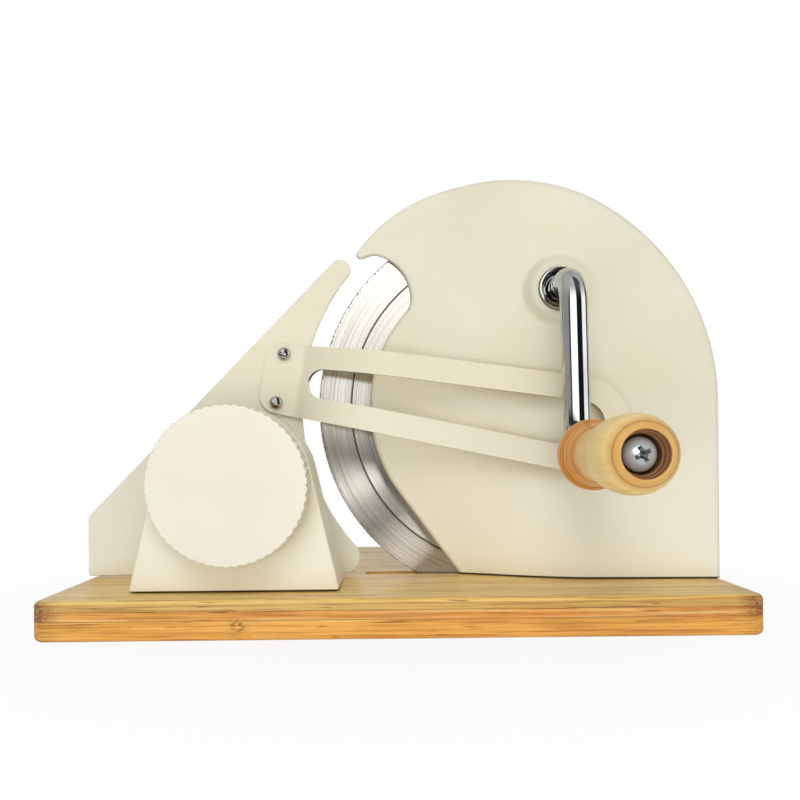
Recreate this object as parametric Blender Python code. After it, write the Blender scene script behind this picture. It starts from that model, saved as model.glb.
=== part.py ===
"""Hand-cranked bread slicer: round serrated blade, pressed housing, sliding fence and slice guide.

Metres, +Z up. The origin is the centre of the board's underside. +X runs from the fence to the
housing, and -Y is the crank side. The crank drives the blade through a pair of spur gears behind
the housing, and the round knob drives the fence along -Y through a screw spindle.
"""

import math

import bmesh
import bpy
from mathutils import Matrix, Vector

# Clearances
GAP = 0.0003                  # between faces that touch
RUN = 0.0003                  # radial, between a shaft and its bush

# Board
BOARD_LENGTH = 0.303
BOARD_DEPTH = 0.185
BOARD_THICKNESS = 0.017
BOARD_CORNER = 0.005
BOARD_EDGE = 0.0025

# Blade
BLADE_X = 0.0572
BLADE_Y = -0.0235
BLADE_RADIUS = 0.095
BLADE_SINK = 0.0125           # how far the blade dips below the board's top
BLADE_THICKNESS = 0.0012
GROUND_WIDTH = 0.0162         # ground band behind the cutting edge
EDGE_THICKNESS = 0.0004
TOOTH_COUNT = 144
TOOTH_DEPTH = 0.0010
SLOT_WIDTH_FRONT = 0.0030     # from the blade's plane to the slot's near wall
SLOT_WIDTH_BACK = 0.0065
SLOT_MARGIN = 0.013

# Blade drive
GEAR_MODULE = 0.0015
CRANK_TEETH = 46
BLADE_TEETH = 30
GEAR_WIDTH = 0.006
GEAR_BACKLASH = 0.00035
SHAFT_ANGLE = 69.2            # degrees, from the blade axis up to the crank axis
HUB_FLANGE_RADIUS = 0.022
BLADE_SHAFT_RADIUS = 0.006
HUB_SCREW_CIRCLE = 0.0145
HUB_SCREW_COUNT = 3
HUB_SCREW_RADIUS = 0.0017
HUB_CLEARANCE = 0.0005        # between the hub's flange and the frame plate
CLAMP_RADIUS = 0.020
CLAMP_THICKNESS = 0.0020
CLAMP_HEAD_RADIUS = 0.0030
CLAMP_HEAD_HEIGHT = 0.0012
CLIP_GROOVE = 0.0008
CLIP_SLOT = 0.0016            # width of the blade shaft's groove
CLIP_RIM = 0.0030
GEAR_HUB_RADIUS = 0.0105
GEAR_HUB_LENGTH = 0.0055
PIN_RADIUS = 0.0015
PIN_LENGTH = 0.0200
PIN_PLACE = 0.0028            # from the crank gear's front

# Frame plate and housing, as distances D from the blade's plane towards the crank side
PLATE_BACK = 0.0033
PLATE_THICKNESS = 0.0017
RIM_D = 0.0015
SKIN = 0.0012
FACE_EDGE_D = 0.0032
FACE_RISE = 0.0216
FACE_FLAT_X = 0.0378          # where the face turns flat, from the blade's axis
FACE_CROWN = 1.6
FACE_SOFTEN = 0.12
FACE_SLOPE = 0.042
HOUSING_FILLET = 0.0030
HOUSING_DRAFT = 9.0           # degrees
HOUSING_SHIFT = (-0.0149, 0.0008)
HOUSING_MARGIN = 0.0137       # right arc's radius over the blade's
CROWN_DROP = 0.0310           # the top left arc is this much tighter
CROWN_ANGLE = 85.3
BEAK_ANGLE = 143.9
BEAK_RADIUS = 0.0020
BLADE_SHOW = 0.0257           # ring of blade left open at the mouth
MOUTH_TOP = 136.8
MOUTH_END = 216.4
BITE_RADIUS = 0.0229
BITE_CENTRE = (-0.0714, 0.0538)
BITE_CORNER = 0.0080
CROWN_LEAN = 0.35
PLATE_INSET = 0.0025
PLATE_SETBACK = 0.011
BOSS_RADIUS = 0.0170
BOSS_TOP_RADIUS = 0.0122
BOSS_HEIGHT = 0.0032
POST_RADIUS = 0.0035
POST_PLACES = ((0.0758, -0.0395), (0.0028, -0.0545), (-0.0050, 0.0850))
POST_HOLE = 0.0060
HOUSING_SCREW_RADIUS = 0.0016
HOUSING_HEAD_RADIUS = 0.0034
HOUSING_HEAD_HEIGHT = 0.0013
FOOT_LENGTH = 0.080
FOOT_DEPTH = 0.0115
FOOT_THICKNESS = 0.0020
FOOT_FROM_BLADE = 0.0450      # foot's centre, from the blade's axis
FOOT_SCREW_SHARE = 0.40       # outer screws, as a share of the foot from its centre
FOOT_SCREW_DEPTH = 0.62       # screws, as a share of the foot's depth
BUSH_WALL = 0.0025
BUSH_RIM = 0.0030
BUSH_FLANGE = 0.0012

# Crank
ROD_RADIUS = 0.0060
CRANK_ARM_Y = -0.0741
CRANK_DROP = 0.07759          # from the shaft down to the grip's axis, at rest
CRANK_SHIFT = 0.00526         # grip's axis to the right of the shaft
CRANK_LEAN = 0.9              # degrees off straight down, above the kink
CRANK_KINK = 0.0158           # kink above the grip's axis
KINK_RADIUS = 0.0200
CRANK_BEND = 0.0115
CRANK_TAIL = 0.0070           # arm below the grip's axis
HANDLE_BOLT_RADIUS = 0.0025
COLLAR_RADIUS = 0.0100
COLLAR_DEPTH = 0.0040         # behind the housing's face
COLLAR_LIP = 0.0012           # before the boss
WASHER_RADIUS = 0.0060
WASHER_THICKNESS = 0.0008
GRIP_LENGTH = 0.0700
GRIP_FLANGE_RADIUS = 0.0150
GRIP_WAIST_RADIUS = 0.0116
GRIP_BULGE_RADIUS = 0.0147
GRIP_RECESS_RADIUS = 0.0081
GRIP_RECESS_DEPTH = 0.0130
BOLT_HEAD_RADIUS = 0.0058
BOLT_HEAD_HEIGHT = 0.0040
BOLT_SETBACK = 0.0012         # bolt's end, inside the arm's far side

# Thickness adjuster
KNOB_X = -0.0712
KNOB_Z = 0.0638
KNOB_RADIUS = 0.0340
KNOB_THICKNESS = 0.0142
KNOB_FACE = 0.0035
KNOB_SKIRT = 0.0030
KNOB_SCALLOPS = 54
SCALLOP_DEPTH = 0.0006
KNOB_HUB_RADIUS = 0.0100
KNOB_STANDOFF = 0.0010
KNOB_SOCKET = 0.0045          # from the knob's face to the spindle's socket
PEDESTAL_FRONT = -0.0748
PEDESTAL_DEPTH = 0.030
PEDESTAL_ARCH = 0.0343
PEDESTAL_SLANT = 12.8         # degrees
PEDESTAL_WALL = 0.0030
PEDESTAL_FLOOR = 0.0050
PEDESTAL_CORNER = 0.0015
SPINDLE_RADIUS = 0.0040
SPINDLE_BUSH_RADIUS = 0.0062
SPINDLE_BUSH_RIM = 0.0020
SPINDLE_GROOVE = 0.0006
SPINDLE_CLIP_SLOT = 0.0014
SPINDLE_CLIP_RIM = 0.0025
SPINDLE_BOSS = 0.0090
SPINDLE_BOSS_LENGTH = 0.0100
ROD_SPREAD = 0.026
ROD_HEIGHT = 0.040
GUIDE_ROD_RADIUS = 0.0035
GUIDE_BUSH_RADIUS = 0.0052
GUIDE_SPIGOT_STEP = 0.0010    # the rod's end in the fence is this much thinner
GUIDE_BOSS = 0.0072
GUIDE_BOSS_LENGTH = 0.0240
SLIDE_OUT = 0.012             # fence travel towards the crank side
SLIDE_IN = 0.002
NUT_ENGAGEMENT = 0.006        # thread left on the spindle with the fence furthest in
NUT_RADIUS = 0.0075
NUT_FLANGE_RADIUS = 0.0110
NUT_FLANGE_THICKNESS = 0.0015
TRAVEL_MARGIN = 0.0010        # left over past the fence's travel

# Fence and slice guide
FENCE_D = 0.0030              # far face of the fence, from the blade's plane
FENCE_THICKNESS = 0.0020
FENCE_LEFT = -0.1520
FENCE_FLOOR_GAP = 0.0010
FENCE_CLEARANCE = 0.0080      # radial, from the blade's edge
FENCE_SHOULDER = 0.0290       # straight part of the left edge above the board
FENCE_SLOPE = 45.57           # degrees
FENCE_TIP_HEIGHT = 0.1557     # above the board
FENCE_TIP_RADIUS = 0.0050
FENCE_CORNER = 0.0080
GUIDE_X = -0.0563
GUIDE_Z = 0.1142
GUIDE_TILT = 10.0             # degrees, down towards the housing
GUIDE_THICKNESS = 0.0015
GUIDE_TAB = 0.0087
GUIDE_TAB_HALF = 0.0172
GUIDE_TAB_CORNER = 0.0090
GUIDE_REACH = 0.1440
GUIDE_END_RADIUS = 0.0223
GUIDE_SLOT_START = 0.0215
GUIDE_SLOT_RADIUS = 0.0070
GUIDE_SLOT_END_RADIUS = 0.0110
GUIDE_BEND_START = 0.0100
GUIDE_BEND_ANGLE = 40.0
GUIDE_BEND_RUN = 0.0020
GUIDE_BEND_RADIUS = 0.082
GUIDE_FLARE = 2.0
GUIDE_SCREW_SPACING = 0.0242
GUIDE_SCREW_RADIUS = 0.0033
GUIDE_HEAD_HEIGHT = 0.0026
GUIDE_SHANK_RADIUS = 0.0020

# Screws from under the board
BASE_SCREW_RADIUS = 0.0023
BASE_HEAD_RADIUS = 0.0045
BASE_HEAD_HEIGHT = 0.0035
COUNTERBORE_DEPTH = 0.0080
BASE_SCREW_REACH = 0.0075     # above the board's top
NUT_FLATS = 0.0080
NUT_HEIGHT = 0.0040
PEDESTAL_SCREW_X = 0.033
PEDESTAL_SCREW_Y = 0.0073
PEDESTAL_POST = 0.0055
POST_CROWN = 0.0040           # post above its screw's tip

# Facets
ROUND = 24
SMALL_ROUND = 16
FINE_ROUND = 10

# Derived places
BOARD_TOP = BOARD_THICKNESS
BLADE_Z = BOARD_TOP + BLADE_RADIUS - BLADE_SINK
GEAR_CENTRES = GEAR_MODULE * (CRANK_TEETH + BLADE_TEETH) / 2
CRANK_X = BLADE_X + GEAR_CENTRES * math.cos(math.radians(SHAFT_ANGLE))
CRANK_Z = BLADE_Z + GEAR_CENTRES * math.sin(math.radians(SHAFT_ANGLE))
GRIP_X = CRANK_X + CRANK_SHIFT
GRIP_Z = CRANK_Z - CRANK_DROP
PLATE_FRONT = PLATE_BACK + PLATE_THICKNESS
GEAR_BACK = PLATE_FRONT + GAP + BUSH_FLANGE + GAP
GEAR_FRONT = GEAR_BACK + GEAR_WIDTH
MOUTH_RADIUS = BLADE_RADIUS - BLADE_SHOW
RIGHT_RADIUS = BLADE_RADIUS + HOUSING_MARGIN
LEFT_RADIUS = RIGHT_RADIUS - CROWN_DROP
RIGHT_CENTRE = (BLADE_X + HOUSING_SHIFT[0], BLADE_Z + HOUSING_SHIFT[1])
LEFT_CENTRE = (RIGHT_CENTRE[0] + CROWN_DROP * math.cos(math.radians(CROWN_ANGLE)),
               RIGHT_CENTRE[1] + CROWN_DROP * math.sin(math.radians(CROWN_ANGLE)))
GRIP_START_Y = CRANK_ARM_Y - ROD_RADIUS - WASHER_THICKNESS - 2 * GAP
FENCE_BACK_Y = BLADE_Y - FENCE_D
FENCE_FRONT_Y = FENCE_BACK_Y - FENCE_THICKNESS
PEDESTAL_BACK = PEDESTAL_FRONT + PEDESTAL_DEPTH
NUT_LENGTH = SLIDE_OUT + SLIDE_IN + TRAVEL_MARGIN + NUT_ENGAGEMENT
PEDESTAL_MID = PEDESTAL_FRONT + PEDESTAL_DEPTH / 2
FOOT_X = BLADE_X + FOOT_FROM_BLADE
FOOT_Y = BLADE_Y - PLATE_BACK - FOOT_DEPTH * FOOT_SCREW_DEPTH
FOOT_SCREWS = [(FOOT_X + FOOT_LENGTH * share, FOOT_Y)
               for share in (-FOOT_SCREW_SHARE, 0.0, FOOT_SCREW_SHARE)]
PEDESTAL_SCREWS = [(KNOB_X + sx * PEDESTAL_SCREW_X, PEDESTAL_MID + sy * PEDESTAL_SCREW_Y)
                   for sx in (-1, 1) for sy in (-1, 1)]


def material(name, color, roughness, metallic=0.0):
    """Make one Principled material."""
    made = bpy.data.materials.new(name)
    made.use_nodes = True
    shader = made.node_tree.nodes["Principled BSDF"]
    shader.inputs["Base Color"].default_value = (*color, 1.0)
    shader.inputs["Roughness"].default_value = roughness
    shader.inputs["Metallic"].default_value = metallic
    made.diffuse_color = (*color, 1.0)
    return made


def bevel(obj, width, segments=1, angle=30):
    """Round an object's sharp edges."""
    made = obj.modifiers.new("edge", "BEVEL")
    made.width = width
    made.segments = segments
    made.limit_method = "ANGLE"
    made.angle_limit = math.radians(angle)
    return made


def boolean(obj, tool, operation="DIFFERENCE"):
    """Cut or join with another object, which becomes a hidden tool."""
    made = obj.modifiers.new(operation.lower(), "BOOLEAN")
    made.operation = operation
    made.solver = "EXACT"
    made.object = tool
    tool.hide_render = True
    tool.display_type = "WIRE"


def place(name, mesh, finish=None, parent=None, origin=(0.0, 0.0, 0.0), smooth=0.0):
    """Make the object of a mesh given in world metres, with its origin where asked."""
    mesh.transform(Matrix.Translation(-Vector(origin)))
    if smooth:
        mesh.shade_smooth()
        mesh.set_sharp_from_angle(angle=math.radians(smooth))
    obj = bpy.data.objects.new(name, mesh)
    bpy.context.scene.collection.objects.link(obj)
    obj.location = Vector(origin)
    if finish is not None:
        mesh.materials.append(finish)
    if parent is not None:
        obj.parent = parent
        obj.matrix_parent_inverse = parent.matrix_world.inverted()
    return obj


def place_copies(name, mesh, places, finish, parent=None, smooth=0.0):
    """Make numbered objects that share a mesh given about the origin, one at each (x, y, z)."""
    mesh.materials.append(finish)
    if smooth:
        mesh.shade_smooth()
        mesh.set_sharp_from_angle(angle=math.radians(smooth))
    for number, spot in enumerate(places, 1):
        obj = bpy.data.objects.new(f"{name}_{number}", mesh)
        bpy.context.scene.collection.objects.link(obj)
        obj.location = spot
        if parent is not None:
            obj.parent = parent
            obj.matrix_parent_inverse = parent.matrix_world.inverted()


def mesh_of(name, verts, faces):
    """Closed mesh from world points and faces, with its normals turned outwards."""
    bm = bmesh.new()
    made = [bm.verts.new(v) for v in verts]
    for face in faces:
        bm.faces.new([made[i] for i in face])
    bmesh.ops.remove_doubles(bm, verts=bm.verts, dist=1e-7)
    bmesh.ops.recalc_face_normals(bm, faces=bm.faces)
    mesh = bpy.data.meshes.new(name)
    bm.to_mesh(mesh)
    bm.free()
    return mesh


def arc(cx, cz, radius, start, end, count):
    """Points of an arc, both ends included, angles in degrees."""
    points = []
    for i in range(count + 1):
        a = math.radians(start + (end - start) * i / count)
        points.append((cx + radius * math.cos(a), cz + radius * math.sin(a)))
    return points


def circle(cx, cz, radius, count=ROUND):
    """Points of a closed circle."""
    return arc(cx, cz, radius, 0, 360, count)[:-1]


def rounded(corners, arc_steps=4):
    """Outline through corners (x, z, radius), with each corner rounded by an arc."""
    points = []
    total = len(corners)
    for i, (x, z, radius) in enumerate(corners):
        corner = Vector((x, z))
        if radius <= 0:
            points.append((x, z))
            continue
        before = (Vector(corners[i - 1][:2]) - corner).normalized()
        after = (Vector(corners[(i + 1) % total][:2]) - corner).normalized()
        half = before.angle(after) / 2
        reach = radius / math.tan(half)
        centre = corner + (before + after).normalized() * (radius / math.sin(half))
        first = corner + before * reach - centre
        last = corner + after * reach - centre
        a0 = math.atan2(first.y, first.x)
        turn = math.atan2(last.y, last.x) - a0
        turn = (turn + math.pi) % (2 * math.pi) - math.pi
        for k in range(arc_steps + 1):
            a = a0 + turn * k / arc_steps
            points.append((centre.x + radius * math.cos(a), centre.y + radius * math.sin(a)))
    return points


def prism_mesh(name, outline, y0, y1):
    """Outline in X and Z, extruded along Y."""
    bm = bmesh.new()
    face = bm.faces.new([bm.verts.new((x, y0, z)) for x, z in outline])
    grown = bmesh.ops.extrude_face_region(bm, geom=[face])
    moved = [g for g in grown["geom"] if isinstance(g, bmesh.types.BMVert)]
    bmesh.ops.translate(bm, verts=moved, vec=(0, y1 - y0, 0))
    bmesh.ops.recalc_face_normals(bm, faces=bm.faces)
    mesh = bpy.data.meshes.new(name)
    bm.to_mesh(mesh)
    bm.free()
    return mesh


def slab_mesh(name, outline, z0, z1):
    """Outline in X and Y, extruded along Z."""
    mesh = prism_mesh(name, outline, 0.0, z1 - z0)
    mesh.transform(Matrix(((1, 0, 0, 0), (0, 0, 1, 0), (0, 1, 0, z0), (0, 0, 0, 1))))
    mesh.flip_normals()
    return mesh


def turned_mesh(name, profile, x=0.0, z=0.0, steps=ROUND, centres=None, upright=False):
    """Spin (radius, along) points about an axis along Y, or along Z when upright.

    A profile that starts and ends on the axis is a solid bar, and any other is closed into a ring.
    centres gives several places for identical pieces, as (x, z), or as (x, y) when upright.
    """
    solid = profile[0][0] == 0.0
    bm = bmesh.new()
    for cx, cz in centres or [(x, z)]:
        if upright:
            points = [Vector((cx + r, cz, along)) for r, along in profile]
            centre, axis = Vector((cx, cz, 0.0)), (0, 0, 1)
        else:
            points = [Vector((cx + r, along, cz)) for r, along in profile]
            centre, axis = Vector((cx, 0.0, cz)), (0, 1, 0)
        verts = [bm.verts.new(p) for p in points]
        pairs = list(zip(verts, verts[1:]))
        if not solid:
            pairs.append((verts[-1], verts[0]))
        edges = [bm.edges.new(pair) for pair in pairs]
        bmesh.ops.spin(bm, geom=verts + edges, cent=centre, axis=axis, angle=2 * math.pi,
                       steps=steps, use_merge=False, use_duplicate=False)
    bmesh.ops.remove_doubles(bm, verts=bm.verts, dist=2e-6)
    bmesh.ops.recalc_face_normals(bm, faces=bm.faces)
    mesh = bpy.data.meshes.new(name)
    bm.to_mesh(mesh)
    bm.free()
    return mesh


def nut_mesh(name, flats, bore, z0, z1):
    """Hexagonal nut with an upright round bore, about the origin."""
    steps = 12
    verts = []
    for z in (z0, z1):
        for i in range(steps):
            a = 2 * math.pi * i / steps
            r = flats / 2 / (math.cos(math.pi / 6) if i % 2 == 0 else 1.0)
            verts.append((r * math.cos(a), r * math.sin(a), z))
            verts.append((bore * math.cos(a), bore * math.sin(a), z))
    faces = []
    for i in range(steps):
        k = (i + 1) % steps
        outer, outer_next, inner, inner_next = 2 * i, 2 * k, 2 * i + 1, 2 * k + 1
        top = 2 * steps
        faces.append([outer, inner, inner_next, outer_next])
        faces.append([top + outer, top + outer_next, top + inner_next, top + inner])
        faces.append([outer, outer_next, top + outer_next, top + outer])
        faces.append([inner_next, inner, top + inner, top + inner_next])
    return mesh_of(name, verts, faces)


def bar(radius, start, end):
    """Profile of a plain bar."""
    return [(0.0, start), (radius, start), (radius, end), (0.0, end)]


def ring(inner, outer, start, end):
    """Profile of a plain ring."""
    return [(inner, start), (outer, start), (outer, end), (inner, end)]


def at_d(d):
    """Y of a distance D from the blade's plane."""
    return BLADE_Y - d


def bar_tool(name, radius, start, end, centres, steps=SMALL_ROUND, upright=False, parent=None):
    """Cylinders used as a cutter."""
    mesh = turned_mesh(name, bar(radius, start, end), centres=centres, steps=steps, upright=upright)
    return place(name, mesh, parent=parent)


def mouth_line(z):
    """X of the housing's open left edge at a height, and of its smooth continuation upwards."""
    top = MOUTH_RADIUS * math.sin(math.radians(MOUTH_TOP))
    low = MOUTH_RADIUS * math.sin(math.radians(MOUTH_END))
    height = z - BLADE_Z
    held = min(max(height, low), top)
    x = BLADE_X - math.sqrt(MOUTH_RADIUS ** 2 - held ** 2)
    if height > top:
        x += CROWN_LEAN * (height - top)
    if height < low:
        x += (low - height) * math.sin(math.radians(MOUTH_END)) / math.cos(math.radians(MOUTH_END))
    return x


def face_d(x, z):
    """Distance D of the housing's swelling face at a point."""
    left = mouth_line(z)
    flat = BLADE_X + FACE_FLAT_X
    t = (x - left) / (flat - left)
    t = min(0.5 * (t + math.hypot(t, FACE_SOFTEN)), 1.0)
    rise = FACE_RISE * (1 - (1 - t) ** FACE_CROWN)
    return FACE_EDGE_D + rise + FACE_SLOPE * max(0.0, x - flat)


def housing_path():
    """Housing outline from the bottom right corner, over the top, to the bottom left corner."""
    bx, bz = BLADE_X + BITE_CENTRE[0], BLADE_Z + BITE_CENTRE[1]
    reach = LEFT_RADIUS - BEAK_RADIUS
    nose = (LEFT_CENTRE[0] + reach * math.cos(math.radians(BEAK_ANGLE)),
            LEFT_CENTRE[1] + reach * math.sin(math.radians(BEAK_ANGLE)))
    inner = BITE_RADIUS - BITE_CORNER
    corner = (bx + inner * math.cos(math.radians(-2)), bz + inner * math.sin(math.radians(-2)))
    path = [(RIGHT_CENTRE[0] + RIGHT_RADIUS, BOARD_TOP + GAP)]
    path += arc(*RIGHT_CENTRE, RIGHT_RADIUS, 0, CROWN_ANGLE, 15)
    path += arc(*LEFT_CENTRE, LEFT_RADIUS, CROWN_ANGLE, BEAK_ANGLE, 8)[1:]
    path += arc(*nose, BEAK_RADIUS, BEAK_ANGLE, 264, 4)[1:]
    path += arc(bx, bz, BITE_RADIUS, 97, -2, 10)
    path += arc(*corner, BITE_CORNER, -2, -44, 4)[1:]
    path += arc(BLADE_X, BLADE_Z, MOUTH_RADIUS, MOUTH_TOP, MOUTH_END, 12)
    path.append((mouth_line(BOARD_TOP + GAP), BOARD_TOP + GAP))
    return path


def path_normals(path):
    """Outward unit normals of an open path that keeps the shape on its left."""
    normals = []
    for i in range(len(path)):
        a = Vector(path[max(i - 1, 0)])
        b = Vector(path[min(i + 1, len(path) - 1)])
        along = (b - a).normalized()
        normal = Vector((along.y, -along.x))
        if i in (0, len(path) - 1):
            normal = Vector((math.copysign(1 / max(abs(normal.x), 0.3), normal.x), 0.0))
        normals.append(normal)
    return normals


def housing_fillet(x, z):
    """Radius of the rounded edge of the housing's face."""
    return min(max(0.62 * (face_d(x, z) - RIM_D), SKIN + 0.0001), HOUSING_FILLET)


def housing_mesh():
    """Pressed pan: a swelling face, a rounded edge and a drafted wall back to the rim."""
    path = housing_path()
    inset = []
    for (x, z), normal in zip(path, path_normals(path)):
        r = housing_fillet(x, z)
        inset.append((x - normal.x * r, z - normal.y * r))
    bm = bmesh.new()
    bm.faces.new([bm.verts.new((x, 0.0, z)) for x, z in inset])
    low_x = min(p[0] for p in inset)
    high_x, high_z = max(p[0] for p in inset), max(p[1] for p in inset)
    columns, rows = 10, 9
    cuts = [((low_x + (high_x - low_x) * i / columns, 0, 0), (1, 0, 0)) for i in range(1, columns)]
    cuts += [((0, 0, BOARD_TOP + (high_z - BOARD_TOP) * i / rows), (0, 0, 1)) for i in range(1, rows)]
    for point, normal in cuts:
        bmesh.ops.bisect_plane(bm, geom=bm.verts[:] + bm.edges[:] + bm.faces[:], dist=2e-4,
                               plane_co=point, plane_no=normal)
    bm.verts.index_update()
    flat = [(v.co.x, v.co.z) for v in bm.verts]
    faces = [[v.index for v in f.verts] for f in bm.faces]
    rim_next = {}
    for edge in bm.edges:
        if edge.is_boundary:
            a, b = edge.verts
            rim_next.setdefault(a.index, []).append(b.index)
            rim_next.setdefault(b.index, []).append(a.index)
    bm.free()

    bottom = BOARD_TOP + GAP
    floor_line = [i for i in rim_next if abs(flat[i][1] - bottom) < 1e-6]
    start = max(floor_line, key=lambda i: flat[i][0])
    stop = min(floor_line, key=lambda i: flat[i][0])
    walk = [start]
    previous, current = start, max(rim_next[start], key=lambda i: flat[i][1])
    while current != stop:
        walk.append(current)
        step = [i for i in rim_next[current] if i != previous][0]
        previous, current = current, step
    walk.append(stop)

    outer = [(x, at_d(face_d(x, z)), z) for x, z in flat]
    inner = [(x, at_d(face_d(x, z) - SKIN), z) for x, z in flat]
    normals = path_normals([flat[i] for i in walk])
    draft = math.tan(math.radians(HOUSING_DRAFT))
    rings = [walk]
    for angle in (45, 90, None):
        current_ring = []
        for index, normal in zip(walk, normals):
            x, z = flat[index]
            d, r = face_d(x, z), housing_fillet(x, z)
            if angle is None:
                out, depth = r + draft * (d - r - RIM_D), RIM_D
                side, front = 1.0, 0.0
            else:
                a = math.radians(angle)
                out, depth = r * math.sin(a), d - r * (1 - math.cos(a))
                side, front = math.sin(a), math.cos(a)
            back = out - SKIN * side
            outer.append((x + normal.x * out, at_d(depth), z + normal.y * out))
            inner.append((x + normal.x * back, at_d(depth - SKIN * front), z + normal.y * back))
            current_ring.append(len(outer) - 1)
        last_ring = rings[-1]
        for i in range(len(walk) - 1):
            faces.append([last_ring[i], current_ring[i], current_ring[i + 1], last_ring[i + 1]])
        rings.append(current_ring)

    count = len(outer)
    edge_uses = {}
    for face in faces:
        for a, b in zip(face, face[1:] + face[:1]):
            edge_uses.setdefault(frozenset((a, b)), []).append((a, b))
    solid = [face[:] for face in faces]
    solid += [[i + count for i in reversed(face)] for face in faces]
    for uses in edge_uses.values():
        if len(uses) == 1:
            a, b = uses[0]
            solid.append([b, a, a + count, b + count])
    return mesh_of("housing_shell", outer + inner, solid)


def boss_mesh(top, bore):
    """Raised ring round the crank, square to the shaft at its top and blended into the face."""
    lip = 0.0006
    slope = BOSS_RADIUS - BOSS_TOP_RADIUS
    rows = [(BOSS_RADIUS + lip, 0.0, -0.0003), (BOSS_RADIUS - 0.0003, 0.0, 0.0002)]
    rows += [(BOSS_RADIUS - share * slope, 0.5 - 0.5 * math.cos(math.pi * share), 0.0)
             for share in (0.35, 0.65, 1.0)]
    rows.append((bore, 1.0, 0.0))
    verts, faces = [], []
    for side in (0, 1):
        for radius, share, lift in rows:
            for x, z in circle(CRANK_X, CRANK_Z, radius, ROUND):
                front = (1 - share) * face_d(x, z) + share * top
                verts.append((x, at_d(front - SKIN - lift if side else front + lift), z))
    count = len(rows)
    order = list(range(count)) + [count + i for i in reversed(range(count))]
    for first, second in zip(order, order[1:] + order[:1]):
        for i in range(ROUND):
            k = (i + 1) % ROUND
            faces.append([first * ROUND + i, first * ROUND + k, second * ROUND + k,
                          second * ROUND + i])
    return mesh_of("boss_tool", verts, faces)


def plate_outline():
    """Frame plate: the housing's outline inside its rim, cut back from the mouth."""
    low = BOARD_TOP + GAP
    right = RIGHT_RADIUS - PLATE_INSET
    left = LEFT_RADIUS - PLATE_INSET
    points = [(RIGHT_CENTRE[0] + right, low)]
    points += arc(*RIGHT_CENTRE, right, 0, CROWN_ANGLE, 16)
    for point in arc(*LEFT_CENTRE, left, CROWN_ANGLE, BEAK_ANGLE, 24)[1:]:
        if point[0] < mouth_line(point[1]) + PLATE_SETBACK:
            break
        points.append(point)
    steps = 12
    top = points[-1][1]
    for i in range(1, steps + 1):
        z = top + (low - top) * i / steps
        points.append((mouth_line(z) + PLATE_SETBACK, z))
    return points


def gear_outline(teeth, x, z, phase):
    """Involute spur gear outline, with a tooth centred on the phase angle in radians."""
    pitch = GEAR_MODULE * teeth / 2
    base = pitch * math.cos(math.radians(20))
    root, tip = pitch - 1.25 * GEAR_MODULE, pitch + 0.9 * GEAR_MODULE

    def involute(radius):
        roll = math.acos(min(1.0, base / radius))
        return math.tan(roll) - roll

    half = math.pi / (2 * teeth) - GEAR_BACKLASH / (2 * pitch) + involute(pitch)
    flank = [(r, half - involute(max(r, base))) for r in (root, tip)]
    points = []
    for i in range(teeth):
        centre = phase + 2 * math.pi * i / teeth
        for radius, spread in flank:
            points.append((centre - spread, radius))
        for radius, spread in reversed(flank):
            points.append((centre + spread, radius))
    return [(x + r * math.cos(a), z + r * math.sin(a)) for a, r in points]


def blade_mesh():
    """Ground disc: flat body, a small step down to the ground band, and a toothed edge."""
    ground = BLADE_RADIUS - GROUND_WIDTH
    step_drop = 0.00015
    coarse = TOOTH_COUNT // 3
    rings = []
    for side in (1, -1):
        body = BLADE_Y + side * BLADE_THICKNESS / 2
        band = body - side * step_drop
        rings.append([(BLADE_SHAFT_RADIUS + GAP, body, coarse), (ground - 0.0003, body, coarse),
                      (ground, band, coarse)])
    verts = []
    loops = []
    for half in rings:
        for radius, y, count in half:
            loops.append(list(range(len(verts), len(verts) + count)))
            for x, z in circle(BLADE_X, BLADE_Z, radius, count):
                verts.append((x, y, z))
    for side in (1, -1):
        y = BLADE_Y + side * EDGE_THICKNESS / 2
        loops.append(list(range(len(verts), len(verts) + 2 * TOOTH_COUNT)))
        for i in range(2 * TOOTH_COUNT):
            a = 2 * math.pi * i / (2 * TOOTH_COUNT)
            r = BLADE_RADIUS - (TOOTH_DEPTH if i % 2 else 0.0)
            verts.append((BLADE_X + r * math.cos(a), y, BLADE_Z + r * math.sin(a)))
    back_bore, back_flat, back_band, front_bore, front_flat, front_band, back_edge, front_edge = loops
    faces = []

    def bridge(first, second):
        ratio = len(second) // len(first)
        for i in range(len(first)):
            following = (i + 1) % len(first)
            fan = [second[(i * ratio + k) % len(second)] for k in range(ratio + 1)]
            faces.append([first[following], first[i]] + fan)

    for first, second in ((back_bore, back_flat), (back_flat, back_band), (back_band, back_edge),
                          (front_bore, front_flat), (front_flat, front_band),
                          (front_band, front_edge), (back_edge, front_edge),
                          (back_bore, front_bore)):
        bridge(first, second)
    return mesh_of("blade_disc", verts, faces)


def swept_mesh(name, stations, steps):
    """Round bar through stations (centre, direction, radius), closed at both ends."""
    verts, faces = [], []
    side = Vector((1, 0, 0))
    for centre, direction, radius in stations:
        direction = direction.normalized()
        across = (side - direction * side.dot(direction)).normalized()
        other = direction.cross(across)
        for i in range(steps):
            a = 2 * math.pi * i / steps
            verts.append(centre + (across * math.cos(a) + other * math.sin(a)) * radius)
    for j in range(len(stations) - 1):
        for i in range(steps):
            k = (i + 1) % steps
            faces.append([j * steps + i, j * steps + k, (j + 1) * steps + k, (j + 1) * steps + i])
    last = (len(stations) - 1) * steps
    faces.append(list(range(steps)))
    faces.append([last + i for i in reversed(range(steps))])
    return mesh_of(name, verts, faces)


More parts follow.
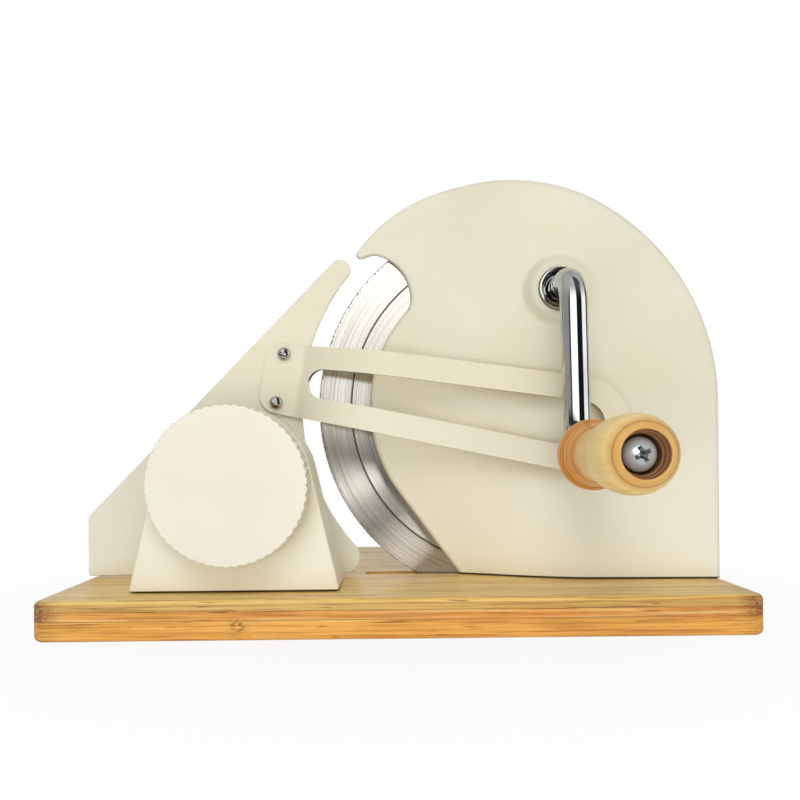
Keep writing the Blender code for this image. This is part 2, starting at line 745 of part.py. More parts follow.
def crank_stations():
    """Centre line of the crank: shaft, bend, arm, and its kinked end past the grip's axis."""
    out = Vector((0, -1, 0))
    lean = math.radians(CRANK_LEAN)
    down = Vector((math.sin(lean), 0, -math.cos(lean)))
    chamfer = 0.0008
    bend_steps = 6
    kink_steps = 2
    start = Vector((CRANK_X, at_d(PLATE_BACK + GAP), CRANK_Z))
    corner = Vector((CRANK_X, CRANK_ARM_Y, CRANK_Z))
    grip = Vector((GRIP_X, CRANK_ARM_Y, GRIP_Z))
    kink = corner + down * ((CRANK_DROP - CRANK_KINK) / math.cos(lean))
    last = (grip - kink).normalized()
    turn = down.angle(last)
    side = (last - down * last.dot(down)).normalized()
    kink_centre = kink - down * (KINK_RADIUS * math.tan(turn / 2)) + side * KINK_RADIUS
    end = grip + last * CRANK_TAIL
    stations = [(start, out, ROD_RADIUS - chamfer), (start + out * chamfer, out, ROD_RADIUS)]
    centre = corner - out * CRANK_BEND + down * CRANK_BEND
    for i in range(bend_steps + 1):
        a = math.pi / 2 * i / bend_steps
        point = centre + out * (CRANK_BEND * math.sin(a)) - down * (CRANK_BEND * math.cos(a))
        stations.append((point, out * math.cos(a) + down * math.sin(a), ROD_RADIUS))
    for i in range(kink_steps + 1):
        a = turn * i / kink_steps
        point = kink_centre + (down * math.sin(a) - side * math.cos(a)) * KINK_RADIUS
        stations.append((point, down * math.cos(a) + side * math.sin(a), ROD_RADIUS))
    stations += [(end - last * chamfer, last, ROD_RADIUS), (end, last, ROD_RADIUS - chamfer)]
    return stations


def guide_bend(u):
    """Distance D of the slice guide's middle surface along its length."""
    first = math.radians(GUIDE_BEND_ANGLE)
    last = math.radians(GUIDE_FLARE)
    d = FENCE_D + FENCE_THICKNESS + GAP + GUIDE_THICKNESS / 2
    if u <= GUIDE_BEND_START:
        return d
    run = min(u - GUIDE_BEND_START, GUIDE_BEND_RUN)
    d += run * math.tan(first)
    u -= GUIDE_BEND_START + GUIDE_BEND_RUN
    if u <= 0:
        return d
    length = GUIDE_BEND_RADIUS * (math.sin(first) - math.sin(last))
    sine = math.sin(first) - min(u, length) / GUIDE_BEND_RADIUS
    d += GUIDE_BEND_RADIUS * (math.sqrt(1 - sine ** 2) - math.cos(first))
    return d + max(0.0, u - length) * math.tan(last)


def guide_world(u, v):
    """World X and Z of a point of the slice guide's own plane."""
    tilt = math.radians(GUIDE_TILT)
    return (GUIDE_X + u * math.cos(tilt) + v * math.sin(tilt),
            GUIDE_Z - u * math.sin(tilt) + v * math.cos(tilt))


def guide_mesh():
    """Bent sheet with a rounded tab, a tapering slot and a round end."""
    taper = math.degrees(math.asin((GUIDE_END_RADIUS - GUIDE_TAB_HALF) / GUIDE_REACH))
    slot_taper = math.degrees(math.asin((GUIDE_SLOT_END_RADIUS - GUIDE_SLOT_RADIUS)
                                        / (GUIDE_REACH - GUIDE_SLOT_START)))
    corner = GUIDE_TAB_CORNER
    across = GUIDE_TAB_HALF - corner
    outer = arc(corner - GUIDE_TAB, -across, corner, 180, 270 - taper, 4)
    outer += arc(GUIDE_REACH, 0, GUIDE_END_RADIUS, -90 - taper, 90 + taper, 16)
    outer += arc(corner - GUIDE_TAB, across, corner, 90 + taper, 180, 4)
    hole = arc(GUIDE_SLOT_START, 0, GUIDE_SLOT_RADIUS, 90 + slot_taper, 270 - slot_taper, 8)
    hole += arc(GUIDE_REACH, 0, GUIDE_SLOT_END_RADIUS, -90 - slot_taper, 90 + slot_taper, 8)
    bm = bmesh.new()
    for outline in (outer, hole):
        verts = [bm.verts.new((u, 0, v)) for u, v in outline]
        for a, b in zip(verts, verts[1:] + verts[:1]):
            bm.edges.new((a, b))
    bmesh.ops.triangle_fill(bm, edges=bm.edges[:], use_beauty=True)
    length = GUIDE_BEND_RADIUS * (math.sin(math.radians(GUIDE_BEND_ANGLE))
                                  - math.sin(math.radians(GUIDE_FLARE)))
    bend = GUIDE_BEND_START + GUIDE_BEND_RUN
    bend_steps = 7
    cuts = [GUIDE_BEND_START, bend] + [bend + length * (i + 1) / bend_steps for i in range(bend_steps)]
    for u in cuts:
        bmesh.ops.bisect_plane(bm, geom=bm.verts[:] + bm.edges[:] + bm.faces[:], dist=1e-5,
                               plane_co=(u, 0, 0), plane_no=(1, 0, 0))
    for vert in bm.verts:
        u, v = vert.co.x, vert.co.z
        x, z = guide_world(u, v)
        vert.co = (x, at_d(guide_bend(u)), z)
    bmesh.ops.recalc_face_normals(bm, faces=bm.faces)
    mesh = bpy.data.meshes.new("slice_guide")
    bm.to_mesh(mesh)
    bm.free()
    return mesh


def fence_outline():
    """Fence plate: straight left edge, slanted back, rounded tip and an edge round the blade."""
    low = BOARD_TOP + FENCE_FLOOR_GAP
    radius = BLADE_RADIUS + FENCE_CLEARANCE
    slope = math.radians(FENCE_SLOPE)
    shoulder = low + FENCE_SHOULDER
    tip_z = BOARD_TOP + FENCE_TIP_HEIGHT - FENCE_TIP_RADIUS
    reach = radius + FENCE_TIP_RADIUS
    tip_x = BLADE_X - math.sqrt(reach ** 2 - (tip_z - BLADE_Z) ** 2)
    tip_angle = math.degrees(math.atan2(tip_z - BLADE_Z, tip_x - BLADE_X))
    foot_z = low + FENCE_CORNER
    foot_reach = radius + FENCE_CORNER
    foot_x = BLADE_X - math.sqrt(foot_reach ** 2 - (foot_z - BLADE_Z) ** 2)
    foot_angle = math.degrees(math.atan2(foot_z - BLADE_Z, foot_x - BLADE_X)) + 360
    start = (tip_x - FENCE_TIP_RADIUS * math.sin(slope), tip_z + FENCE_TIP_RADIUS * math.cos(slope))
    rise = start[0] - FENCE_LEFT
    knee = (FENCE_LEFT, start[1] - rise * math.tan(slope))
    left = rounded([(FENCE_LEFT, low, 0.001), (start[0], low, 0), (start[0], start[1], 0),
                    (knee[0], max(knee[1], shoulder), 0.005)])
    points = [p for p in left if p != (start[0], low) and p != (start[0], start[1])]
    points = points[-5:] + points[:5]
    points += arc(foot_x, foot_z, FENCE_CORNER, -90, foot_angle - 360 + 180, 5)
    points += arc(BLADE_X, BLADE_Z, radius, foot_angle, tip_angle, 24)[1:-1]
    points += arc(tip_x, tip_z, FENCE_TIP_RADIUS, tip_angle - 180, 90 + FENCE_SLOPE, 6)
    return points


def knob_outline():
    """Round knob with a finely scalloped edge."""
    points = []
    per_scallop = 2
    for i in range(KNOB_SCALLOPS * per_scallop):
        a = 2 * math.pi * i / (KNOB_SCALLOPS * per_scallop)
        r = KNOB_RADIUS - (SCALLOP_DEPTH if i % per_scallop == 0 else 0.0)
        points.append((KNOB_X + r * math.cos(a), KNOB_Z + r * math.sin(a)))
    return points


def grip_profile():
    """Turned wooden grip: flange, waist, long swell, rounded end and a deep recess."""
    start, end = GRIP_START_Y, GRIP_START_Y - GRIP_LENGTH
    flange, waist, bulge = GRIP_FLANGE_RADIUS, GRIP_WAIST_RADIUS, GRIP_BULGE_RADIUS
    bore = HANDLE_BOLT_RADIUS + RUN
    neck, waist_at, bulge_at = 0.0062, 0.0165, 0.0520
    points = [(bore, start), (flange - 0.0022, start), (flange - 0.0006, start - 0.0008),
              (flange, start - 0.0026), (flange - 0.0004, start - 0.0048)]
    shoulder = flange - 0.0014
    for i in range(4):
        a = math.pi * i / 3
        y = start - neck - (waist_at - neck) * i / 3
        points.append(((shoulder + waist) / 2 + (shoulder - waist) / 2 * math.cos(a), y))
    for i in range(1, 5):
        a = math.pi * i / 4
        y = start - waist_at - (bulge_at - waist_at) * i / 4
        points.append(((waist + bulge) / 2 - (bulge - waist) / 2 * math.cos(a), y))
    drop = bulge - GRIP_RECESS_RADIUS - 0.0012
    depth = GRIP_LENGTH - bulge_at
    for i in range(1, 5):
        a = math.pi / 2 * i / 4
        points.append((bulge - drop * (1 - math.cos(a)), start - bulge_at - depth * math.sin(a)))
    points += [(GRIP_RECESS_RADIUS, end + 0.0008), (GRIP_RECESS_RADIUS, end + GRIP_RECESS_DEPTH),
               (bore, end + GRIP_RECESS_DEPTH)]
    return points


for leftover in list(bpy.data.objects):
    bpy.data.objects.remove(leftover, do_unlink=True)

ENAMEL = material("ivory_enamel", (0.80, 0.76, 0.58), 0.35)
PLASTIC = material("ivory_plastic", (0.83, 0.79, 0.66), 0.40)
BAMBOO = material("bamboo", (0.66, 0.42, 0.18), 0.45)
BEECH = material("turned_wood", (0.72, 0.45, 0.17), 0.40)
STEEL = material("brushed_steel", (0.62, 0.62, 0.60), 0.30, 1.0)
CHROME = material("chrome", (0.80, 0.80, 0.80), 0.08, 1.0)
ZINC = material("zinc_plated", (0.55, 0.55, 0.53), 0.35, 1.0)
BRASS = material("bush_bronze", (0.60, 0.44, 0.20), 0.40, 1.0)
NYLON = material("gear_nylon", (0.78, 0.78, 0.74), 0.50)


def axis_empty(name, x, y, z, parent=None):
    """Empty on a joint's axis, which carries the pieces of one moving body."""
    empty = bpy.data.objects.new(name, None)
    bpy.context.scene.collection.objects.link(empty)
    empty.location = (x, y, z)
    if parent is not None:
        empty.parent = parent
        empty.matrix_parent_inverse = parent.matrix_world.inverted()
    bpy.context.view_layer.update()
    return empty


def build_board():
    """Bamboo board with the blade's slot and the counterbored screw holes."""
    half_x, half_y, r = BOARD_LENGTH / 2, BOARD_DEPTH / 2, BOARD_CORNER
    outline = rounded([(-half_x, -half_y, r), (half_x, -half_y, r), (half_x, half_y, r),
                       (-half_x, half_y, r)])
    board = place("base_board", slab_mesh("base_board", outline, 0.0, BOARD_TOP), BAMBOO)
    bevel(board, BOARD_EDGE, 2, 60)
    chord = math.sqrt(BLADE_RADIUS ** 2 - (BLADE_RADIUS - BLADE_SINK) ** 2)
    x0, x1 = BLADE_X - chord - 2 * SLOT_MARGIN, BLADE_X + chord + SLOT_MARGIN
    y0, y1 = BLADE_Y - SLOT_WIDTH_FRONT, BLADE_Y + SLOT_WIDTH_BACK
    slot = rounded([(x0, y0, 0.003), (x1, y0, 0.003), (x1, y1, 0.003), (x0, y1, 0.003)], 2)
    boolean(board, place("slot_tool", slab_mesh("slot_tool", slot, -0.002, BOARD_TOP + 0.002)))
    places = FOOT_SCREWS + PEDESTAL_SCREWS
    hole = BASE_SCREW_RADIUS + GAP
    boolean(board, bar_tool("board_hole_tool", hole, -0.001, BOARD_TOP + 0.001, places, FINE_ROUND, True))
    boolean(board, bar_tool("counterbore_tool", BASE_HEAD_RADIUS + 0.001, -0.001,
                            COUNTERBORE_DEPTH, places, 12, True))


def base_screw_profile():
    """Screw that comes up through the board from its counterbore."""
    seat = COUNTERBORE_DEPTH - GAP
    low = seat - BASE_HEAD_HEIGHT
    return [(0.0, low + 0.0012), (0.0012, low + 0.0012), (0.0012, low),
            (BASE_HEAD_RADIUS - 0.0008, low), (BASE_HEAD_RADIUS, low + 0.0012),
            (BASE_HEAD_RADIUS, seat), (BASE_SCREW_RADIUS, seat),
            (BASE_SCREW_RADIUS, BOARD_TOP + BASE_SCREW_REACH), (0.0, BOARD_TOP + BASE_SCREW_REACH)]


def build_frame():
    """Frame plate with its foot, bushes, posts, and the screws that hold it to the board."""
    low = BOARD_TOP + GAP
    plate = place("frame_plate",
                  prism_mesh("frame_plate", plate_outline(), at_d(PLATE_BACK), at_d(PLATE_FRONT)), ZINC)
    foot = rounded([(FOOT_X - FOOT_LENGTH / 2, at_d(PLATE_BACK + FOOT_DEPTH), 0.003),
                    (FOOT_X + FOOT_LENGTH / 2, at_d(PLATE_BACK + FOOT_DEPTH), 0.003),
                    (FOOT_X + FOOT_LENGTH / 2, at_d(PLATE_BACK + PLATE_THICKNESS / 2), 0),
                    (FOOT_X - FOOT_LENGTH / 2, at_d(PLATE_BACK + PLATE_THICKNESS / 2), 0)])
    boolean(plate, place("foot_tool", slab_mesh("foot_tool", foot, low, low + FOOT_THICKNESS)), "UNION")
    boolean(plate, bar_tool("foot_hole_tool", BASE_SCREW_RADIUS + GAP, low - 0.001,
                            low + FOOT_THICKNESS + 0.001,
                            FOOT_SCREWS, FINE_ROUND, True))
    sleeve = BLADE_SHAFT_RADIUS + BUSH_WALL
    span = (at_d(PLATE_BACK - 0.001), at_d(PLATE_FRONT + 0.001))
    boolean(plate, bar_tool("bush_hole_tool", sleeve + GAP, *span,
                            [(BLADE_X, BLADE_Z), (CRANK_X, CRANK_Z)]))
    posts = [(BLADE_X + px, BLADE_Z + pz) for px, pz in POST_PLACES]
    boolean(plate, bar_tool("post_hole_tool", HOUSING_SCREW_RADIUS + GAP, *span, posts, FINE_ROUND))

    for name, x, z, bore in (("blade_bush", BLADE_X, BLADE_Z, BLADE_SHAFT_RADIUS),
                             ("crank_inner_bush", CRANK_X, CRANK_Z, ROD_RADIUS)):
        flange_back, flange_front = at_d(PLATE_FRONT + GAP), at_d(PLATE_FRONT + GAP + BUSH_FLANGE)
        profile = [(bore + RUN, at_d(PLATE_BACK)), (sleeve, at_d(PLATE_BACK)), (sleeve, flange_back),
                   (sleeve + BUSH_RIM, flange_back), (sleeve + BUSH_RIM, flange_front),
                   (bore + RUN, flange_front)]
        place(name, turned_mesh(name, profile, x, z, ROUND), BRASS, smooth=40)

    root = PLATE_FRONT + GAP
    bore = HOUSING_SCREW_RADIUS + GAP
    for number, (x, z) in enumerate(posts, 1):
        reach = min(face_d(x + sx * POST_RADIUS, z + sz * POST_RADIUS)
                    for sx in (-1, 0, 1) for sz in (-1, 0, 1)) - SKIN - GAP
        hole_end = root + POST_HOLE
        profile = [(0.0, at_d(hole_end)), (bore, at_d(hole_end)), (bore, at_d(root)),
                   (POST_RADIUS, at_d(root)), (POST_RADIUS, at_d(reach)), (0.0, at_d(reach))]
        name = f"housing_post_{number}"
        place(name, turned_mesh(name, profile, x, z, 6), ZINC, origin=(x, at_d(root), z))
    seat = PLATE_BACK - GAP
    head = seat - HOUSING_HEAD_HEIGHT
    tip = root + POST_HOLE - 0.0005
    profile = [(0.0, at_d(head)), (HOUSING_HEAD_RADIUS - 0.0008, at_d(head)),
               (HOUSING_HEAD_RADIUS, at_d(head + 0.0006)),
               (HOUSING_HEAD_RADIUS, at_d(seat)), (HOUSING_SCREW_RADIUS, at_d(seat)),
               (HOUSING_SCREW_RADIUS, at_d(tip)), (0.0, at_d(tip))]
    place_copies("housing_screw", turned_mesh("housing_screw", profile, steps=FINE_ROUND),
                 [(x, 0.0, z) for x, z in posts], ZINC)

    nut_low = low + FOOT_THICKNESS + GAP
    spots = [(x, y, 0.0) for x, y in FOOT_SCREWS]
    place_copies("frame_foot_nut", nut_mesh("frame_foot_nut", NUT_FLATS, BASE_SCREW_RADIUS + GAP,
                                            nut_low, nut_low + NUT_HEIGHT), spots, ZINC)
    place_copies("frame_foot_screw", turned_mesh("frame_foot_screw", base_screw_profile(), steps=FINE_ROUND,
                                                 upright=True), spots, ZINC)


def build_housing():
    """Pressed housing with the crank's boss and its chromed bush."""
    shell = place("housing_shell", housing_mesh(), ENAMEL, smooth=35)
    d = face_d(CRANK_X, CRANK_Z)
    top = d + BOSS_HEIGHT
    bore = COLLAR_RADIUS + GAP
    boolean(shell, bar_tool("boss_hole_tool", BOSS_RADIUS, at_d(d - 0.008), at_d(top + 0.004),
                            [(CRANK_X, CRANK_Z)], ROUND))
    boolean(shell, place("boss_tool", boss_mesh(top, bore)), "UNION")
    inner = ROD_RADIUS + RUN
    lip = top + COLLAR_LIP
    profile = [(inner, at_d(d - COLLAR_DEPTH)), (COLLAR_RADIUS, at_d(d - COLLAR_DEPTH)),
               (COLLAR_RADIUS, at_d(lip - 0.0008)), (COLLAR_RADIUS - 0.0006, at_d(lip)),
               (COLLAR_RADIUS - 0.0018, at_d(lip)), (COLLAR_RADIUS - 0.0022, at_d(top - 0.0008)),
               (inner + 0.0012, at_d(top - 0.0008)), (inner + 0.0006, at_d(top + 0.0002)),
               (inner, at_d(top + 0.0002))]
    place("crank_outer_bush", turned_mesh("crank_outer_bush", profile, CRANK_X, CRANK_Z, ROUND),
          CHROME, smooth=40)


def build_blade():
    """Blade, hub with its shaft, gear, circlip, clamp disc and clamp screws."""
    axis = axis_empty("blade_axis", BLADE_X, BLADE_Y, BLADE_Z)
    origin = (BLADE_X, BLADE_Y, BLADE_Z)
    half = BLADE_THICKNESS / 2
    screws = [(BLADE_X + HUB_SCREW_CIRCLE * math.cos(2 * math.pi * i / HUB_SCREW_COUNT + 0.5),
               BLADE_Z + HUB_SCREW_CIRCLE * math.sin(2 * math.pi * i / HUB_SCREW_COUNT + 0.5))
              for i in range(HUB_SCREW_COUNT)]
    disc = place("blade_disc", blade_mesh(), STEEL, axis, origin)
    hole = HUB_SCREW_RADIUS + GAP
    boolean(disc, bar_tool("blade_hole_tool", hole, at_d(-half - 0.001), at_d(half + 0.001), screws,
                           FINE_ROUND, parent=axis))
    shaft, groove = BLADE_SHAFT_RADIUS, CLIP_GROOVE
    clip = GEAR_FRONT + GAP
    profile = [(0.0, at_d(0.0)), (shaft, at_d(0.0)), (shaft, at_d(half + GAP)),
               (HUB_FLANGE_RADIUS, at_d(half + GAP)), (HUB_FLANGE_RADIUS, at_d(PLATE_BACK - HUB_CLEARANCE)),
               (shaft, at_d(PLATE_BACK - HUB_CLEARANCE)), (shaft, at_d(clip)), (shaft - groove, at_d(clip)),
               (shaft - groove, at_d(clip + CLIP_SLOT)), (shaft, at_d(clip + CLIP_SLOT)),
               (shaft, at_d(clip + CLIP_SLOT + 0.0012)), (0.0, at_d(clip + CLIP_SLOT + 0.0012))]
    hub = place("blade_hub", turned_mesh("blade_hub", profile, BLADE_X, BLADE_Z), ZINC, axis, origin, 40)
    boolean(hub, bar_tool("hub_hole_tool", hole, at_d(-0.001), at_d(PLATE_BACK), screws, FINE_ROUND,
                          parent=axis))
    back = -half - GAP
    profile = [(0.0, at_d(back)), (CLAMP_RADIUS, at_d(back)), (CLAMP_RADIUS, at_d(back - 0.0008)),
               (CLAMP_RADIUS - 0.0022, at_d(back - CLAMP_THICKNESS)), (0.0, at_d(back - CLAMP_THICKNESS))]
    clamp = place("blade_clamp", turned_mesh("blade_clamp", profile, BLADE_X, BLADE_Z), STEEL, axis,
                  origin, 40)
    boolean(clamp, bar_tool("clamp_hole_tool", hole, at_d(back + 0.001),
                            at_d(back - CLAMP_THICKNESS - 0.001), screws, FINE_ROUND,
                            parent=axis))
    seat = back - CLAMP_THICKNESS - GAP
    head = seat - CLAMP_HEAD_HEIGHT
    profile = [(0.0, at_d(head)), (CLAMP_HEAD_RADIUS - 0.0008, at_d(head)),
               (CLAMP_HEAD_RADIUS, at_d(head + 0.0006)),
               (CLAMP_HEAD_RADIUS, at_d(seat)), (HUB_SCREW_RADIUS, at_d(seat)),
               (HUB_SCREW_RADIUS, at_d(PLATE_BACK - 0.0008)), (0.0, at_d(PLATE_BACK - 0.0008))]
    place_copies("blade_clamp_screw", turned_mesh("blade_clamp_screw", profile, steps=FINE_ROUND),
                 [(x, 0.0, z) for x, z in screws], ZINC, axis)
    direction = math.atan2(CRANK_Z - BLADE_Z, CRANK_X - BLADE_X)
    outline = gear_outline(BLADE_TEETH, BLADE_X, BLADE_Z, direction + math.pi / BLADE_TEETH)
    gear = place("blade_gear", prism_mesh("blade_gear", outline, at_d(GEAR_BACK), at_d(GEAR_FRONT)),
                 NYLON, axis, origin)
    boolean(gear, bar_tool("blade_gear_bore", shaft + GAP, at_d(GEAR_BACK - 0.001),
                           at_d(GEAR_FRONT + 0.001), [(BLADE_X, BLADE_Z)], 24, parent=axis))
    profile = ring(shaft - groove + GAP, shaft + CLIP_RIM, at_d(clip + GAP), at_d(clip + CLIP_SLOT - GAP))
    place("blade_circlip", turned_mesh("blade_circlip", profile, BLADE_X, BLADE_Z, 24), ZINC, axis,
          origin)


def build_crank():
    """Bent rod, gear with its pin, turned grip, washer and the screw that holds the grip."""
    axis = axis_empty("crank_axis", CRANK_X, CRANK_ARM_Y, CRANK_Z)
    origin = (CRANK_X, CRANK_ARM_Y, CRANK_Z)
    rod = place("crank_rod", swept_mesh("crank_rod", crank_stations(), 16), CHROME, axis, origin, 50)
    spread = ROD_RADIUS + 0.001
    boolean(rod, bar_tool("bolt_hole_tool", HANDLE_BOLT_RADIUS + GAP, CRANK_ARM_Y - spread,
                          CRANK_ARM_Y + spread, [(GRIP_X, GRIP_Z)], 12, parent=axis))
    gear_mid = at_d((GEAR_BACK + GEAR_FRONT) / 2)
    hub_front = GEAR_FRONT + GEAR_HUB_LENGTH
    pin_y = at_d(GEAR_FRONT + PIN_PLACE)
    direction = math.atan2(BLADE_Z - CRANK_Z, BLADE_X - CRANK_X)
    outline = gear_outline(CRANK_TEETH, CRANK_X, CRANK_Z, direction)
    gear = place("crank_gear", prism_mesh("crank_gear", outline, at_d(GEAR_BACK), at_d(GEAR_FRONT)),
                 NYLON, axis, (CRANK_X, gear_mid, CRANK_Z))
    hub = turned_mesh("gear_hub_tool", bar(GEAR_HUB_RADIUS, at_d(GEAR_BACK + 0.001), at_d(hub_front)),
                      CRANK_X, CRANK_Z, 24)
    boolean(gear, place("gear_hub_tool", hub, parent=axis), "UNION")
    bore = turned_mesh("gear_bore_tool", bar(ROD_RADIUS + GAP, at_d(GEAR_BACK - 0.001),
                                             at_d(hub_front + 0.001)), CRANK_X, CRANK_Z, 24)
    boolean(gear, place("gear_bore_tool", bore, parent=axis))
    half = PIN_LENGTH / 2
    pin = turned_mesh("crank_gear_pin", bar(PIN_RADIUS, -half, half), 0.0, 0.0, 12)
    pin.transform(Matrix.Translation((CRANK_X, pin_y, CRANK_Z)) @ Matrix.Rotation(math.pi / 2, 4, "X"))
    hole = turned_mesh("pin_cut_tool", bar(PIN_RADIUS + GAP, -half - 0.002, half + 0.002), 0.0, 0.0, 12)
    hole.transform(Matrix.Translation((CRANK_X, pin_y, CRANK_Z)) @ Matrix.Rotation(math.pi / 2, 4, "X"))
    place("crank_gear_pin", pin, ZINC, axis, (CRANK_X, pin_y, CRANK_Z))
    cutter = place("pin_cut_tool", hole, parent=axis)
    boolean(gear, cutter)
    boolean(rod, cutter)

    grip_axis = axis_empty("grip_axis", GRIP_X, GRIP_START_Y, GRIP_Z, axis)
    place("handle_grip", turned_mesh("handle_grip", grip_profile(), GRIP_X, GRIP_Z, 24), BEECH,
          grip_axis, (GRIP_X, GRIP_START_Y, GRIP_Z), 40)
    rear = CRANK_ARM_Y - ROD_RADIUS - GAP
    profile = ring(HANDLE_BOLT_RADIUS + GAP, WASHER_RADIUS, rear - WASHER_THICKNESS, rear)
    place("crank_washer", turned_mesh("crank_washer", profile, GRIP_X, GRIP_Z), ZINC, axis, origin)
    floor = GRIP_START_Y - GRIP_LENGTH + GRIP_RECESS_DEPTH - GAP
    profile = ring(HANDLE_BOLT_RADIUS + GAP, WASHER_RADIUS, floor - WASHER_THICKNESS, floor)
    place("handle_washer", turned_mesh("handle_washer", profile, GRIP_X, GRIP_Z), ZINC, axis, origin)
    head = floor - WASHER_THICKNESS - GAP
    radius, shank = BOLT_HEAD_RADIUS, HANDLE_BOLT_RADIUS
    tip = CRANK_ARM_Y + ROD_RADIUS - BOLT_SETBACK
    dome = BOLT_HEAD_HEIGHT
    profile = [(0.0, head - dome), (0.30 * radius, head - 0.950 * dome),
               (0.58 * radius, head - 0.800 * dome), (0.82 * radius, head - 0.525 * dome),
               (radius, head - 0.175 * dome), (radius, head), (shank, head),
               (shank, tip), (0.0, tip)]
    place("handle_bolt", turned_mesh("handle_bolt", profile, GRIP_X, GRIP_Z), CHROME, axis, origin, 40)


def build_adjuster():
    """Hollow pedestal with its bosses, bushes, knob, spindle and circlip."""
    low = BOARD_TOP + GAP
    slant = math.radians(PEDESTAL_SLANT)
    tangent = PEDESTAL_SLANT

    def outline(inset, floor):
        arch = PEDESTAL_ARCH - inset
        reach = arch / math.cos(slant) + (KNOB_Z - floor) * math.tan(slant)
        points = rounded([(KNOB_X - reach, floor, PEDESTAL_CORNER),
                          (KNOB_X + reach, floor, PEDESTAL_CORNER), (KNOB_X, floor + 0.5, 0)], 2)[:-1]
        return points + arc(KNOB_X, KNOB_Z, arch, tangent, 180 - tangent, 16)

    body = place("adjuster_pedestal",
                 prism_mesh("adjuster_pedestal", outline(0.0, low), PEDESTAL_FRONT, PEDESTAL_BACK),
                 ENAMEL)
    bevel(body, 0.0010, 1, 60)
    inner_front = PEDESTAL_FRONT + PEDESTAL_WALL
    cavity = prism_mesh("cavity_tool", outline(PEDESTAL_WALL, low + PEDESTAL_FLOOR), inner_front,
                        PEDESTAL_BACK + 0.005)
    boolean(body, place("cavity_tool", cavity))
    wall = inner_front - 0.001
    rods = [(KNOB_X - ROD_SPREAD, ROD_HEIGHT), (KNOB_X + ROD_SPREAD, ROD_HEIGHT)]
    spindle_end = inner_front + SPINDLE_BOSS_LENGTH - PEDESTAL_WALL
    guide_end = inner_front + GUIDE_BOSS_LENGTH - PEDESTAL_WALL
    boolean(body, bar_tool("spindle_boss_tool", SPINDLE_BOSS, wall, spindle_end, [(KNOB_X, KNOB_Z)],
                           24), "UNION")
    boolean(body, bar_tool("guide_boss_tool", GUIDE_BOSS, wall, guide_end, rods, 20), "UNION")
    post_top = low + BASE_SCREW_REACH + POST_CROWN
    boolean(body, bar_tool("screw_post_tool", PEDESTAL_POST, low + PEDESTAL_FLOOR - 0.001, post_top,
                           PEDESTAL_SCREWS, 12, True), "UNION")
    boolean(body, bar_tool("post_bore_tool", BASE_SCREW_RADIUS + GAP, low - 0.001,
                           low + BASE_SCREW_REACH + 0.001, PEDESTAL_SCREWS, FINE_ROUND, True))
    boolean(body, bar_tool("spindle_bore_tool", SPINDLE_BUSH_RADIUS + GAP, PEDESTAL_FRONT - 0.002,
                           spindle_end + 0.002, [(KNOB_X, KNOB_Z)], 24))
    boolean(body, bar_tool("guide_bore_tool", GUIDE_BUSH_RADIUS + GAP, inner_front + GAP,
                           guide_end + 0.002, rods, 20))
    place_copies("pedestal_screw", turned_mesh("pedestal_screw", base_screw_profile(), steps=FINE_ROUND,
                                               upright=True),
                 [(x, y, 0.0) for x, y in PEDESTAL_SCREWS], ZINC)
    profile = ring(GUIDE_ROD_RADIUS + RUN, GUIDE_BUSH_RADIUS, inner_front + 2 * GAP, guide_end)
    place_copies("guide_bush", turned_mesh("guide_bush", profile, steps=20),
                 [(x, 0.0, z) for x, z in rods], BRASS)
    flange = spindle_end + GAP
    profile = [(SPINDLE_RADIUS + RUN, PEDESTAL_FRONT), (SPINDLE_BUSH_RADIUS, PEDESTAL_FRONT),
               (SPINDLE_BUSH_RADIUS, flange), (SPINDLE_BUSH_RADIUS + SPINDLE_BUSH_RIM, flange),
               (SPINDLE_BUSH_RADIUS + SPINDLE_BUSH_RIM, flange + BUSH_FLANGE),
               (SPINDLE_RADIUS + RUN, flange + BUSH_FLANGE)]
    place("spindle_bush", turned_mesh("spindle_bush", profile, KNOB_X, KNOB_Z, 24), BRASS)

    axis = axis_empty("knob_axis", KNOB_X, PEDESTAL_FRONT, KNOB_Z)
    origin = (KNOB_X, PEDESTAL_FRONT, KNOB_Z)
    back = PEDESTAL_FRONT - KNOB_STANDOFF
    front = back - KNOB_THICKNESS
    knob = place("thickness_knob", prism_mesh("thickness_knob", knob_outline(), front, back), PLASTIC,
                 axis, origin)
    bevel(knob, 0.0006, 1, 60)
    profile = ring(KNOB_HUB_RADIUS, KNOB_RADIUS - KNOB_SKIRT, front + KNOB_FACE, back + 0.005)
    hollow = turned_mesh("knob_hollow_tool", profile, KNOB_X, KNOB_Z)
    boolean(knob, place("knob_hollow_tool", hollow, parent=axis))
    socket = front + KNOB_SOCKET
    boolean(knob, bar_tool("knob_socket_tool", SPINDLE_RADIUS + GAP, socket, back + 0.001,
                           [(KNOB_X, KNOB_Z)], 24, parent=axis))
    clip = flange + BUSH_FLANGE + GAP
    end = FENCE_FRONT_Y - SLIDE_OUT - TRAVEL_MARGIN
    r, groove = SPINDLE_RADIUS, SPINDLE_GROOVE
    profile = [(0.0, socket + GAP), (r - 0.0005, socket + GAP), (r, socket + 0.0008), (r, clip),
               (r - groove, clip), (r - groove, clip + SPINDLE_CLIP_SLOT), (r, clip + SPINDLE_CLIP_SLOT),
               (r, end - 0.0008), (r - 0.0008, end), (0.0, end)]
    place("adjuster_spindle", turned_mesh("adjuster_spindle", profile, KNOB_X, KNOB_Z, 24), ZINC, axis,
          origin, 40)
    place("spindle_circlip", turned_mesh("spindle_circlip",
                                         ring(r - groove + GAP, r + SPINDLE_CLIP_RIM, clip + GAP,
                                              clip + SPINDLE_CLIP_SLOT - 0.0002),
                                         KNOB_X, KNOB_Z, 20), ZINC, axis, origin)


